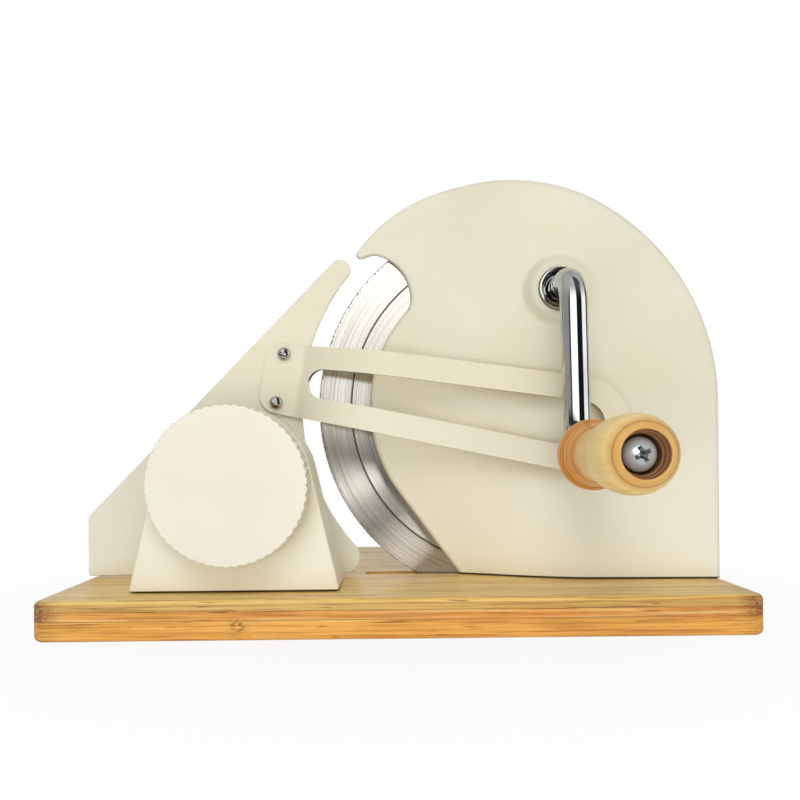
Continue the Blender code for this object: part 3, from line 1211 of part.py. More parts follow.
def build_fence():
    """Sliding fence with its guide rods, spindle nut, and the bent slice guide on two screws."""
    axis = axis_empty("fence_axis", KNOB_X, FENCE_FRONT_Y, KNOB_Z)
    origin = (KNOB_X, FENCE_FRONT_Y, KNOB_Z)
    fence = place("fence_plate", prism_mesh("fence_plate", fence_outline(), FENCE_FRONT_Y,
                                            FENCE_BACK_Y), ENAMEL, axis, origin)
    bevel(fence, 0.0004, 1, 60)
    rods = [(KNOB_X - ROD_SPREAD, ROD_HEIGHT), (KNOB_X + ROD_SPREAD, ROD_HEIGHT)]
    spigot = GUIDE_ROD_RADIUS - GUIDE_SPIGOT_STEP
    boolean(fence, bar_tool("rod_hole_tool", spigot + GAP, FENCE_FRONT_Y - 0.001, FENCE_BACK_Y + 0.001,
                            rods, 16, parent=axis))
    screws = [guide_world(0.0, GUIDE_SCREW_SPACING / 2), guide_world(0.0, -GUIDE_SCREW_SPACING / 2)]
    shank = GUIDE_SHANK_RADIUS
    tab_front = FENCE_FRONT_Y - GAP - GUIDE_THICKNESS
    boolean(fence, bar_tool("fence_screw_tool", shank + GAP, FENCE_FRONT_Y - 0.001,
                            FENCE_BACK_Y + 0.001, screws, 12, parent=axis))
    rod_end = PEDESTAL_FRONT + PEDESTAL_WALL + SLIDE_OUT + TRAVEL_MARGIN
    profile = [(0.0, rod_end), (GUIDE_ROD_RADIUS - 0.0006, rod_end), (GUIDE_ROD_RADIUS, rod_end + 0.0006),
               (GUIDE_ROD_RADIUS, FENCE_FRONT_Y - GAP), (spigot, FENCE_FRONT_Y - GAP),
               (spigot, FENCE_BACK_Y - 0.0001), (0.0, FENCE_BACK_Y - 0.0001)]
    place_copies("guide_rod", turned_mesh("guide_rod", profile, steps=20),
                 [(x, 0.0, z) for x, z in rods], STEEL, axis)
    nut_front = FENCE_FRONT_Y - NUT_LENGTH
    seat = FENCE_FRONT_Y - GAP
    bore = SPINDLE_RADIUS + GAP
    profile = [(bore, nut_front), (NUT_RADIUS, nut_front), (NUT_RADIUS, seat - NUT_FLANGE_THICKNESS),
               (NUT_FLANGE_RADIUS, seat - NUT_FLANGE_THICKNESS), (NUT_FLANGE_RADIUS, seat), (bore, seat)]
    place("spindle_nut", turned_mesh("spindle_nut", profile, KNOB_X, KNOB_Z, 24), BRASS, axis, origin)

    guide = place("slice_guide", guide_mesh(), ENAMEL, axis, origin)
    solid = guide.modifiers.new("sheet", "SOLIDIFY")
    solid.thickness = GUIDE_THICKNESS
    solid.offset = 0.0
    solid.use_even_offset = True
    boolean(guide, bar_tool("guide_screw_tool", shank + GAP, tab_front - 0.001, FENCE_FRONT_Y + 0.001,
                            screws, 12, parent=axis))
    head, r = tab_front - GAP, GUIDE_SCREW_RADIUS
    dome = GUIDE_HEAD_HEIGHT
    profile = [(0.0, head - dome), (0.0013, head - 0.923 * dome), (0.0024, head - 0.692 * dome),
               (r, head - 0.269 * dome), (r, head), (shank, head), (shank, FENCE_BACK_Y - 0.0001),
               (0.0, FENCE_BACK_Y - 0.0001)]
    place_copies("slice_guide_screw", turned_mesh("slice_guide_screw", profile, steps=16),
                 [(x, 0.0, z) for x, z in screws], CHROME, axis, 40)


build_board()
build_frame()
build_housing()
build_blade()
build_crank()
build_adjuster()
build_fence()
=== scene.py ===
"""Studio picture of a hand-cranked bread slicer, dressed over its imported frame.

Metres, +Z up. The origin is the centre of the board's underside, +X runs from the fence to the
housing, and the crank side faces -Y. Distances called depth are measured from the blade's middle
plane towards the crank side.
"""
import logging
import math
from dataclasses import dataclass
from enum import Enum
from typing import Iterable, Sequence

import bmesh
import bpy
from bpy.types import Material, Mesh, NodeSocket, Object
from mathutils import Matrix, Vector


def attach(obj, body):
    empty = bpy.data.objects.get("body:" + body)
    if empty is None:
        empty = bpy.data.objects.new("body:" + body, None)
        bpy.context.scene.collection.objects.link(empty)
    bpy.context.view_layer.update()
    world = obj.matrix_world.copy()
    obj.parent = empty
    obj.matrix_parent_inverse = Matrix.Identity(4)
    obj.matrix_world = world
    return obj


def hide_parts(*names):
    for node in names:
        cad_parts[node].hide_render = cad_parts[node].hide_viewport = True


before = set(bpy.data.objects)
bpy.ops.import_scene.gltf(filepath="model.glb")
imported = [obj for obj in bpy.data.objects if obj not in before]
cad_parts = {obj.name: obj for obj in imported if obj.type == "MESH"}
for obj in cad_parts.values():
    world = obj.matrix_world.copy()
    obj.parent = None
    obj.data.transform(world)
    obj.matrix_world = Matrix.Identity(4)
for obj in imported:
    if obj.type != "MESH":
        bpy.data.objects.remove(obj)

LOG = logging.getLogger("bread_slicer")
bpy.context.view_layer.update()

Point = tuple[float, float]
Place = tuple[float, float, float]
Colour = tuple[float, float, float]

# Sizes shared by several pieces
BOARD_TOP = 0.017
BLADE_X, BLADE_Y, BLADE_Z = 0.0572, -0.0235, 0.0995
BLADE_RADIUS, GROUND_FROM, EDGE_TEETH = 0.095, 0.0788, 220
CRANK_X, CRANK_Z = 0.077441, 0.152785
GRIP_X, GRIP_Z = 0.082701, 0.075195
KNOB_X, KNOB_Z = -0.0712, 0.0638
GAP = 0.0003
FENCE_BACK, FENCE_FRONT = -0.0265, -0.0285
PEDESTAL_FRONT, PEDESTAL_DEPTH = -0.0748, 0.030
GUIDE_RODS = [(KNOB_X - 0.026, 0.040), (KNOB_X + 0.026, 0.040)]
PEDESTAL_SCREWS = [(KNOB_X + across, PEDESTAL_FRONT + PEDESTAL_DEPTH / 2 + along)
                   for across in (-0.033, 0.033) for along in (-0.0073, 0.0073)]
FOOT_Y = BLADE_Y - (0.0033 + 0.0115 * 0.62)
FOOT_SCREWS = [(BLADE_X + 0.045 + step, FOOT_Y) for step in (-0.032, 0.0, 0.032)]
MERGE = 1e-7


class Slot(Enum):
    """Material slots of the record."""

    BOARD = "board_wood"
    GRIP = "grip_wood"
    ENAMEL = "enamel"
    KNOB = "knob_plastic"
    BLADE = "blade_steel"
    CHROME = "chrome"
    ZINC = "zinc"


class Body(Enum):
    """Bodies that the pieces ride on."""

    BASE = "base"
    BLADE = "blade"
    CRANK = "crank"
    GRIP = "grip"
    KNOB = "knob"
    FENCE = "fence"


class Along(Enum):
    """Axis that a shape is turned about or extruded along."""

    Y = "y"
    Z = "z"

    def place(self, u: float, v: float, along: float) -> Place:
        """Return the point at (u, v) across the axis and at a distance along it."""
        return (u, along, v) if self is Along.Y else (u, v, along)


def at_depth(depth: float) -> float:
    """Return the Y of a depth from the blade's middle plane."""
    return BLADE_Y - depth


def linear(red: float, green: float, blue: float) -> Colour:
    """Return the linear colour of display values from 0 to 255."""
    shares = [value / 255.0 for value in (red, green, blue)]
    return tuple(s / 12.92 if s <= 0.04045 else ((s + 0.055) / 1.055) ** 2.4 for s in shares)


# Outlines and meshes

def polar(cx: float, cz: float, radius: float, degrees: float) -> Point:
    """Return the point at an angle round a centre."""
    angle = math.radians(degrees)
    return cx + radius * math.cos(angle), cz + radius * math.sin(angle)


def arc(cx: float, cz: float, radius: float, start: float, end: float, count: int) -> list[Point]:
    """Return the points of an arc between two angles in degrees, both ends included."""
    return [polar(cx, cz, radius, start + (end - start) * i / count) for i in range(count + 1)]


def rounded(corners: Sequence[tuple[float, float, float]], steps: int = 8) -> list[Point]:
    """Return an outline through corners, each rounded by its own radius.

    Args:
        corners: Corners as (x, z, radius).
        steps: Steps of each rounding.

    Returns:
        The closed outline's points.
    """
    points: list[Point] = []
    for i, (x, z, radius) in enumerate(corners):
        if radius <= 0:
            points.append((x, z))
            continue
        corner = Vector((x, z))
        before = (Vector(corners[i - 1][:2]) - corner).normalized()
        after = (Vector(corners[(i + 1) % len(corners)][:2]) - corner).normalized()
        half = before.angle(after) / 2
        centre = corner + (before + after).normalized() * (radius / math.sin(half))
        first = corner + before * (radius / math.tan(half)) - centre
        last = corner + after * (radius / math.tan(half)) - centre
        a0 = math.atan2(first.y, first.x)
        turn = (math.atan2(last.y, last.x) - a0 + math.pi) % (2 * math.pi) - math.pi
        for k in range(steps + 1):
            a = a0 + turn * k / steps
            points.append((centre.x + radius * math.cos(a), centre.y + radius * math.sin(a)))
    return points


def smooth_curve(points: Sequence[Point], steps: int) -> list[Point]:
    """Run a smooth curve through points.

    Args:
        points: Points that the curve passes through.
        steps: Steps between two points.

    Returns:
        The curve's points, both ends included.
    """
    made: list[Point] = []
    for i in range(len(points) - 1):
        p0, p1 = Vector(points[max(i - 1, 0)]), Vector(points[i])
        p2, p3 = Vector(points[i + 1]), Vector(points[min(i + 2, len(points) - 1)])
        for k in range(steps):
            t = k / steps
            spot = 0.5 * (2 * p1 + (p2 - p0) * t + (2 * p0 - 5 * p1 + 4 * p2 - p3) * t ** 2
                          + (3 * p1 - p0 - 3 * p2 + p3) * t ** 3)
            made.append((spot.x, spot.y))
    return made + [points[-1]]


def mesh_of(name: str, bm: bmesh.types.BMesh) -> Mesh:
    """Turn an edited mesh into a plain one of that name.

    Args:
        name: Name of the mesh.
        bm: The edited mesh, which is freed.

    Returns:
        The plain mesh.
    """
    mesh = bpy.data.meshes.new(name)
    bm.to_mesh(mesh)
    bm.free()
    return mesh


def mesh_from(name: str, verts: Iterable[Sequence[float]], faces: Iterable[Sequence[int]]) -> Mesh:
    """Build a closed mesh whose faces point outwards.

    Args:
        name: Name of the mesh.
        verts: Points in metres; those that coincide become one.
        faces: Faces as indices of the points.

    Returns:
        The mesh.
    """
    bm = bmesh.new()
    made = [bm.verts.new(v) for v in verts]
    for face in faces:
        bm.faces.new([made[i] for i in face])
    bmesh.ops.remove_doubles(bm, verts=bm.verts, dist=MERGE)
    bmesh.ops.recalc_face_normals(bm, faces=bm.faces)
    return mesh_of(name, bm)


def bands(steps: int, pairs: Iterable[tuple[int, int]]) -> list[list[int]]:
    """Return the faces between pairs of closed rows that have a number of points each."""
    return [[a * steps + i, a * steps + (i + 1) % steps, b * steps + (i + 1) % steps, b * steps + i]
            for a, b in pairs for i in range(steps)]


def prism(name: str, outline: Sequence[Point], low: float, high: float,
          way: Along = Along.Y) -> Mesh:
    """Extrude a closed outline.

    Args:
        name: Name of the mesh.
        outline: Outline in X and Z, or in X and Y where it is extruded along Z.
        low: First end.
        high: Other end.
        way: Direction of the extrusion.

    Returns:
        The closed mesh.
    """
    count = len(outline)
    verts = [way.place(u, v, along) for along in (low, high) for u, v in outline]
    caps = [list(range(count)), list(range(2 * count - 1, count - 1, -1))]
    return mesh_from(name, verts, caps + bands(count, [(0, 1)]))


def turned(name: str, profile: Sequence[Point], x: float, z: float, steps: int = 96,
           way: Along = Along.Y) -> Mesh:
    """Turn a profile of (radius, along) points about an axis.

    Args:
        name: Name of the mesh.
        profile: Points; a profile that starts on the axis is a bar, and any other is a ring.
        x: Axis's X.
        z: Axis's Z, or its Y when the axis runs along Z.
        steps: Facets round the axis.
        way: Direction of the axis.

    Returns:
        The closed mesh.
    """
    solid = profile[0][0] == 0.0
    rows = profile[1:-1] if solid else profile
    angles = [2 * math.pi * i / steps for i in range(steps)]
    verts = [way.place(x + radius * math.cos(a), z + radius * math.sin(a), along)
             for radius, along in rows for a in angles]
    last = len(rows) - 1
    faces = bands(steps, [(j, j + 1) for j in range(last)] + ([] if solid else [(last, 0)]))
    if solid:
        for row, along in ((0, profile[0][1]), (last, profile[-1][1])):
            faces += [[row * steps + i, row * steps + (i + 1) % steps, len(verts)]
                      for i in range(steps)]
            verts.append(way.place(x, z, along))
    return mesh_from(name, verts, faces)


def bar(radius: float, low: float, high: float, x: float, z: float, steps: int = 48,
        way: Along = Along.Y) -> Mesh:
    """Return a plain cylinder, which drills a hole or makes a boss."""
    return turned("bar", [(0.0, low), (radius, low), (radius, high), (0.0, high)], x, z, steps, way)


def swept(name: str, stations: Sequence[tuple[Vector, Vector, float]], steps: int) -> Mesh:
    """Sweep a circle through stations, closed at both ends.

    Args:
        name: Name of the mesh.
        stations: (centre, direction, radius) along the path.
        steps: Facets round the path.

    Returns:
        The closed mesh.
    """
    verts: list[Vector] = []
    for centre, direction, radius in stations:
        along = direction.normalized()
        across = (Vector((1, 0, 0)) - along * along.x).normalized()
        other = along.cross(across)
        for i in range(steps):
            a = 2 * math.pi * i / steps
            verts.append(centre + (across * math.cos(a) + other * math.sin(a)) * radius)
    last = len(stations) - 1
    caps = [list(range(steps)), [last * steps + i for i in range(steps)]]
    return mesh_from(name, verts, bands(steps, [(j, j + 1) for j in range(last)]) + caps)


def placed(name: str, data: bpy.types.ID) -> Object:
    """Put a mesh, light or camera in the scene as an object at the origin.

    Args:
        name: Name of the object.
        data: Its mesh, light or camera.

    Returns:
        The object.
    """
    made = bpy.data.objects.new(name, data)
    bpy.context.scene.collection.objects.link(made)
    return made


def shade(mesh: Mesh, sharp: float) -> None:
    """Shade a mesh smoothly, with its edges kept sharp above an angle in degrees."""
    mesh.shade_smooth()
    mesh.set_sharp_from_angle(angle=math.radians(sharp))


def piece_of(name: str, mesh: Mesh, sharp: float = 30.0) -> Object:
    """Put a smoothly shaded mesh in the scene, with edges kept sharp above an angle in degrees."""
    shade(mesh, sharp)
    return placed(name, mesh)


def bake(piece: Object) -> Object:
    """Turn a piece with modifiers into a plain mesh.

    Args:
        piece: The piece; its modifiers are removed.

    Returns:
        The same piece.
    """
    bpy.context.view_layer.update()
    graph = bpy.context.evaluated_depsgraph_get()
    plain = bpy.data.meshes.new_from_object(piece.evaluated_get(graph))
    piece.modifiers.clear()
    piece.data = plain
    return piece


def cut(piece: Object, *tools: Mesh, operation: str = "DIFFERENCE") -> Object:
    """Cut or join a piece with closed meshes, one after another.

    Args:
        piece: The piece to change.
        tools: Meshes to cut with or to join.
        operation: DIFFERENCE or UNION.

    Returns:
        The same piece, as a plain mesh.
    """
    for mesh in tools:
        tool = placed("tool", mesh)
        step = piece.modifiers.new("step", "BOOLEAN")
        step.operation, step.solver, step.object = operation, "EXACT", tool
        bake(piece)
        bpy.data.objects.remove(tool)
    return piece


def round_edges(piece: Object, width: float, segments: int, angle: float) -> Object:
    """Round a piece's sharp edges and keep its flats flat.

    Args:
        piece: The piece.
        width: Width of the rounding.
        segments: Steps of the rounding.
        angle: Angle in degrees above which an edge is rounded.

    Returns:
        The same piece, as a plain mesh.
    """
    step = piece.modifiers.new("edge", "BEVEL")
    step.width, step.segments, step.harden_normals = width, segments, True
    step.limit_method, step.angle_limit = "ANGLE", math.radians(angle)
    return bake(piece)


def level_faces(piece: Object, sharp: float = 50) -> Object:
    """Let large faces keep their own normal, so that roundings beside them don't bend their shade.

    Args:
        piece: The piece.
        sharp: Angle in degrees above which an edge stays sharp.

    Returns:
        The same piece, as a plain mesh.
    """
    shade(piece.data, sharp)
    step = piece.modifiers.new("level", "WEIGHTED_NORMAL")
    step.mode, step.weight, step.keep_sharp = "FACE_AREA", 100, True
    return bake(piece)


# Finishes

class Nodes:
    """Node tree, with short calls to add and join nodes."""

    def __init__(self, tree: bpy.types.NodeTree) -> None:
        """Hold the tree."""
        self.tree = tree

    def put(self, socket: NodeSocket, value: object) -> None:
        """Fill a socket.

        Args:
            socket: The socket.
            value: Output to link from, or a plain value; a colour may come without its alpha.
        """
        if isinstance(value, NodeSocket):
            self.tree.links.new(value, socket)
        elif socket.type == "RGBA" and len(value) == 3:
            socket.default_value = (*value, 1.0)
        else:
            socket.default_value = value

    def add(self, kind: str, inputs: dict[str | int, object] | None = None,
            **settings: object) -> bpy.types.Node:
        """Add a node.

        Args:
            kind: Node type; the ShaderNode prefix may be left out.
            inputs: Socket to a value, or to an output to link from.
            settings: Properties of the node.

        Returns:
            The node.
        """
        node = self.tree.nodes.new(kind if "Node" in kind else "ShaderNode" + kind)
        for key, value in settings.items():
            setattr(node, key, value)
        for key, value in (inputs or {}).items():
            self.put(node.inputs[key], value)
        return node

    def split(self, vector: NodeSocket) -> list[NodeSocket]:
        """Return a vector's X, Y and Z."""
        return list(self.add("SeparateXYZ", {0: vector}).outputs)

    def math(self, operation: str, first: object, second: object = 0.0) -> NodeSocket:
        """Return the result of a Math node for one or two values."""
        return self.add("Math", {0: first, 1: second}, operation=operation).outputs[0]

    def plus(self, first: object, second: object) -> NodeSocket:
        """Return a sum."""
        return self.math("ADD", first, second)

    def times(self, first: object, *others: object) -> NodeSocket:
        """Return the product of two or more values.

        Args:
            first: A number or a socket.
            others: More of them.

        Returns:
            The socket of the product.
        """
        for other in others:
            first = self.math("MULTIPLY", first, other)
        return first

    def off(self, value: object, middle: object) -> NodeSocket:
        """Return how far a value lies from another."""
        return self.math("ABSOLUTE", self.math("SUBTRACT", value, middle))

    def distance(self, first: object, second: object) -> NodeSocket:
        """Return the distance between two places."""
        return self.add("VectorMath", {0: first, 1: second}, operation="DISTANCE").outputs["Value"]

    def span(self, value: NodeSocket, low: float, high: float, to_low: float = 0.0,
             to_high: float = 1.0) -> NodeSocket:
        """Map a value from one span to another, held at its ends."""
        return self.add("MapRange", {0: value, 1: low, 2: high, 3: to_low, 4: to_high}).outputs[0]

    def ramp(self, value: NodeSocket, *stops: tuple[float, Colour]) -> NodeSocket:
        """Return a colour for a value.

        Args:
            value: Value between 0 and 1.
            stops: (position, linear colour) pairs.

        Returns:
            The colour output.
        """
        node = self.add("ValToRGB", {"Fac": value})
        band = node.color_ramp
        while len(band.elements) < len(stops):
            band.elements.new(0.5)
        for element, (position, colour) in zip(band.elements, stops):
            element.position, element.color = position, (*colour, 1.0)
        return node.outputs["Color"]

    def mix(self, share: object, first: object, second: object) -> NodeSocket:
        """Return two linear colours or outputs mixed, by the share of the second one."""
        return self.add("Mix", {0: share, 6: first, 7: second}, data_type="RGBA").outputs[2]


class Graph(Nodes):
    """Node tree of a material with one Principled shader."""

    def __init__(self, name: str) -> None:
        """Make a material of that name.

        Args:
            name: Name of the material.
        """
        self.material = bpy.data.materials.new(name)
        self.material.use_nodes = True
        super().__init__(self.material.node_tree)
        self.shader = self.tree.nodes["Principled BSDF"]
        self.coords = self.add("TexCoord").outputs

    def set(self, **inputs: object) -> None:
        """Fill the shader's sockets, with the spaces of their names written as underscores."""
        for key, value in inputs.items():
            self.put(self.shader.inputs[key.replace("_", " ")], value)

    def stretched(self, scale: Place, turn: Place = (0, 0, 0), move: Place = (0, 0, 0),
                  source: str = "Object") -> NodeSocket:
        """Return the object's or the UV map's coordinates, scaled, turned in radians and moved."""
        return self.add("Mapping", {"Vector": self.coords[source], "Scale": scale, "Rotation": turn,
                                    "Location": move}).outputs[0]

    def noise(self, vector: NodeSocket, scale: float, detail: float = 2.0, rough: float = 0.5,
              warp: float = 0.0) -> NodeSocket:
        """Return a noise between 0 and 1, with its octaves, their weight and its distortion."""
        return self.add("TexNoise", {"Vector": vector, "Scale": scale, "Detail": detail,
                                     "Roughness": rough, "Distortion": warp}).outputs["Fac"]

    def openness(self, distance: float) -> NodeSocket:
        """Return 1 in the open, and less within a distance of other surfaces."""
        return self.add("AmbientOcclusion", {"Distance": distance}, samples=8).outputs["AO"]

    def stained(self, colour: NodeSocket,
                *layers: tuple[NodeSocket, float, float, float, float, Colour]) -> NodeSocket:
        """Lay colours over a colour, each where its value says.

        Args:
            colour: Colour to start from.
            layers: (value, low, high, share at low, share at high, display colour), in order.

        Returns:
            The colour output.
        """
        for value, low, high, at_low, at_high, paint in layers:
            colour = self.mix(self.span(value, low, high, at_low, at_high), colour, linear(*paint))
        return colour

    def bump(self, height: NodeSocket, strength: float, distance: float,
             under: NodeSocket | None = None) -> NodeSocket:
        """Return a normal bent by a height of so many metres, over another normal."""
        inputs = {"Height": height, "Strength": strength, "Distance": distance}
        return self.add("Bump", inputs | ({} if under is None else {"Normal": under})).outputs[0]


@dataclass(frozen=True)
class Enamel:
    """Ivory enamel on pressed sheet, with a faint orange peel, painted shade in its corners and a
    painted paler tone towards its foot.

    Attributes:
        name: Name of the material.
        light: Display colour of most of the surface.
        deep: Slightly yellower display colour that clouds through it.
        corner: Display colour of the painted shade in corners and under edges.
        roughness: Middle roughness.
        contact_shade_below: Height under which a painted contact shadow darkens the foot, or 0 for
            none.
        painted_edge_light: True for thin sheet with a painted highlight on its upper edges and
            painted shade on its lower ones.
    """

    name: str
    light: Colour
    deep: Colour
    corner: Colour = (204, 192, 140)
    roughness: float = 0.42
    contact_shade_below: float = 0.0
    painted_edge_light: bool = False

    def make(self) -> Material:
        """Return the material.

        Returns:
            The material.
        """
        g = Graph(self.name)
        whole = g.stretched((1, 1, 1))
        height = g.split(g.coords["Object"])[2]
        cloud, sheen = g.noise(whole, 22.0, 3.0, 0.55), g.noise(whole, 60.0, 3.0)
        colour = g.ramp(cloud, (0.30, linear(*self.deep)), (0.68, linear(*self.light)))
        # Painted light and shade: paler towards the foot to offset the board's warm bounce, and a
        # painted shade colour where other surfaces are near.
        colour = g.stained(colour, (height, 0.02, 0.110, 0.80, 0.0, (243, 244, 230)),
                           (g.openness(0.016), 0.20, 0.85, 0.55, 0.0, self.corner))
        if self.painted_edge_light:
            # Painted highlight on edges that face up, and painted shade on edges that face down.
            facing = g.split(g.add("NewGeometry").outputs["Normal"])[2]
            colour = g.stained(colour, (facing, 0.35, 0.75, 0.0, 0.85, (252, 250, 244)),
                               (facing, -0.12, -0.45, 0.0, 0.92, (78, 66, 34)))
        # Painted contact shadow: the foot is darkened where it meets the board.
        if self.contact_shade_below:
            low, high = self.contact_shade_below - 0.0001, self.contact_shade_below + 0.0001
            colour = g.stained(colour, (height, low, high, 1.0, 0.0, (38, 32, 24)))
        peel = g.bump(g.noise(whole, 420.0, 2.0, 0.45), 0.08, 0.00010)
        g.set(Base_Color=colour, Specular_IOR_Level=0.34, Coat_Weight=0.04, Coat_Roughness=0.3,
              Normal=g.bump(g.noise(whole, 900.0, 2.0, 0.6), 0.05, 0.00004, peel),
              Roughness=g.span(sheen, 0.3, 0.7, self.roughness - 0.05, self.roughness + 0.06))
        return g.material


@dataclass(frozen=True)
class Metal:
    """Plated, turned or cast metal with fine marks.

    Attributes:
        name: Name of the material.
        colour: Linear colour.
        roughness: Middle roughness.
        grain: Scale of the marks along each axis.
        depth: Height of the marks in metres.
        metallic: Share of metal, lower where the plating is satin.
        pit_shade: True where narrow recesses get painted shade.
    """

    name: str
    colour: Colour
    roughness: float
    grain: Place = (300.0, 300.0, 300.0)
    depth: float = 0.00002
    metallic: float = 1.0
    pit_shade: bool = False

    def make(self) -> Material:
        """Return the material.

        Returns:
            The material.
        """
        g = Graph(self.name)
        marks = g.noise(g.stretched(self.grain), 1.0, 3.0, 0.6)
        stain = g.noise(g.stretched((1, 1, 1)), 70.0, 3.0)
        dull = tuple(c * 0.82 for c in self.colour)
        colour = g.ramp(stain, (0.30, dull), (0.62, self.colour))
        if self.pit_shade:
            # Painted shade darkens narrow recesses, such as the cross in a screw's head.
            dark = g.span(g.openness(0.0014), 0.45, 0.80, 0.94, 0.0)
            colour = g.mix(dark, colour, (0.02, 0.017, 0.013))
        g.set(Base_Color=colour, Metallic=self.metallic,
              Roughness=g.span(marks, 0.25, 0.75, self.roughness * 0.75, self.roughness * 1.25),
              Normal=g.bump(marks, 0.12, self.depth))
        return g.material


@dataclass(frozen=True)
class Plastic:
    """Moulded plastic with a fine satin grain.

    Attributes:
        name: Name of the material.
        colour: Display colour.
        roughness: Middle roughness.
    """

    name: str
    colour: Colour
    roughness: float

    def make(self) -> Material:
        """Return the material.

        Returns:
            The material.
        """
        g = Graph(self.name)
        whole = g.stretched((1, 1, 1))
        cloud = g.noise(whole, 30.0, 2.0)
        colour = linear(*self.colour)
        deep = tuple(c * share for c, share in zip(colour, (0.97, 0.965, 0.93)))
        g.set(Base_Color=g.ramp(cloud, (0.3, deep), (0.7, colour)),
              Normal=g.bump(g.noise(whole, 1400.0, 2.0, 0.6), 0.10, 0.00003),
              Subsurface_Weight=0.05, Subsurface_Radius=(0.002, 0.0015, 0.001),
              Subsurface_Scale=0.4,
              Roughness=g.span(cloud, 0.3, 0.7, self.roughness - 0.04, self.roughness + 0.04))
        return g.material


@dataclass(frozen=True)
class Bamboo:
    """Laminated bamboo: strips along the board in three layers, with nodes and fine fibres.

    Attributes:
        name: Name of the material.
        strip: Width of a strip.
        layers: Heights between the layers.
        ends: Distances from the middle between which the ends darken.
    """

    name: str = "board_bamboo"
    strip: float = 0.0195
    layers: Point = (0.0085, 0.0124)
    ends: Point = (0.1385, 0.1470)

    def make(self) -> Material:
        """Return the material.

        Returns:
            The material.
        """
        g = Graph(self.name)
        x, y, z = g.split(g.coords["Object"])
        lay = g.plus(*[g.math("GREATER_THAN", z, height) for height in self.layers])
        across = g.plus(g.math("DIVIDE", y, self.strip), g.times(lay, 0.37))
        seed = g.add("CombineXYZ", {0: g.math("FLOOR", across), 1: lay, 2: 0.37})
        per_strip = g.add("TexWhiteNoise", {"Vector": seed.outputs[0]},
                          noise_dimensions="3D").outputs["Value"]
        shift = g.add("CombineXYZ", {0: g.times(per_strip, 9.0), 1: g.times(lay, 3.7)})

        def along(scale: Place, detail: float, rough: float, warp: float = 0.0) -> NodeSocket:
            """Return a noise that differs from strip to strip."""
            moved = g.add("VectorMath", {0: g.stretched(scale), 1: shift.outputs[0]},
                          operation="ADD")
            return g.noise(moved.outputs[0], 1.0, detail, rough, warp)

        broad = along((4, 90, 190), 3.0, 0.6, 0.3)
        fibre = along((14, 620, 620), 4.0, 0.65, 0.4)
        streak = along((22, 1500, 1500), 3.0, 0.6, 0.5)
        dash = along((60, 900, 900), 2.0, 0.5)
        colour = g.ramp(broad, (0.28, linear(190, 112, 30)), (0.44, linear(232, 164, 66)),
                        (0.58, linear(246, 190, 92)), (0.74, linear(255, 224, 144)))
        lift = g.ramp(g.times(lay, 0.5), (0.0, linear(240, 180, 80)), (0.5, linear(208, 124, 42)),
                      (1.0, linear(255, 230, 136)))
        colour = g.mix(g.span(lay, 1.4, 1.6, 0.55, 0.68), colour, lift)
        tone = g.ramp(per_strip, (0.0, linear(222, 160, 78)), (1.0, linear(252, 212, 140)))
        joints = [(g.off(z, height), 0.00008, 0.00028, 0.55, 0.0, (112, 62, 24))
                  for height in self.layers]
        colour = g.stained(g.mix(0.20, colour, tone),
                           (fibre, 0.49, 0.64, 0.0, 0.60, (178, 104, 34)),
                           (fibre, 0.46, 0.34, 0.0, 0.50, (255, 226, 158)),
                           (streak, 0.56, 0.68, 0.0, 0.62, (132, 72, 22)),
                           (dash, 0.64, 0.72, 0.0, 0.66, (104, 54, 18)),
                           (g.off(g.math("FRACT", across), 0.5), 0.490, 0.4995, 0.0, 0.45,
                            (132, 82, 36)), *joints)
        knot = g.distance(g.stretched((150, 260, 230), move=(9.9, 24.0, -1.48)), (0, 0, 0))
        fleck = g.noise(g.stretched((700, 700, 1500)), 1.0, 3.0, 0.7)
        mark = g.times(g.span(knot, 0.25, 0.85, 1.0, 0.0), g.span(fleck, 0.47, 0.58, 0.0, 0.9))
        burnt = g.times(g.span(g.math("ABSOLUTE", x), *self.ends),
                        g.span(z, self.layers[0] - 0.0002, self.layers[0] + 0.0002, 0.25, 1.0),
                        g.span(z, BOARD_TOP - 0.0012, BOARD_TOP - 0.0001, 1.0, 0.2),
                        g.span(fleck, 0.36, 0.60, 0.35, 0.95))
        colour = g.mix(g.math("MAXIMUM", mark, burnt), colour, linear(118, 60, 22))
        height = g.plus(g.times(fibre, 0.6), g.times(streak, 0.4))
        g.set(Base_Color=colour, Normal=g.bump(height, 0.14, 0.00007), Coat_Weight=0.18,
              Specular_IOR_Level=0.4, Coat_Roughness=0.14,
              Roughness=g.span(fibre, 0.3, 0.7, 0.36, 0.50))
        return g.material


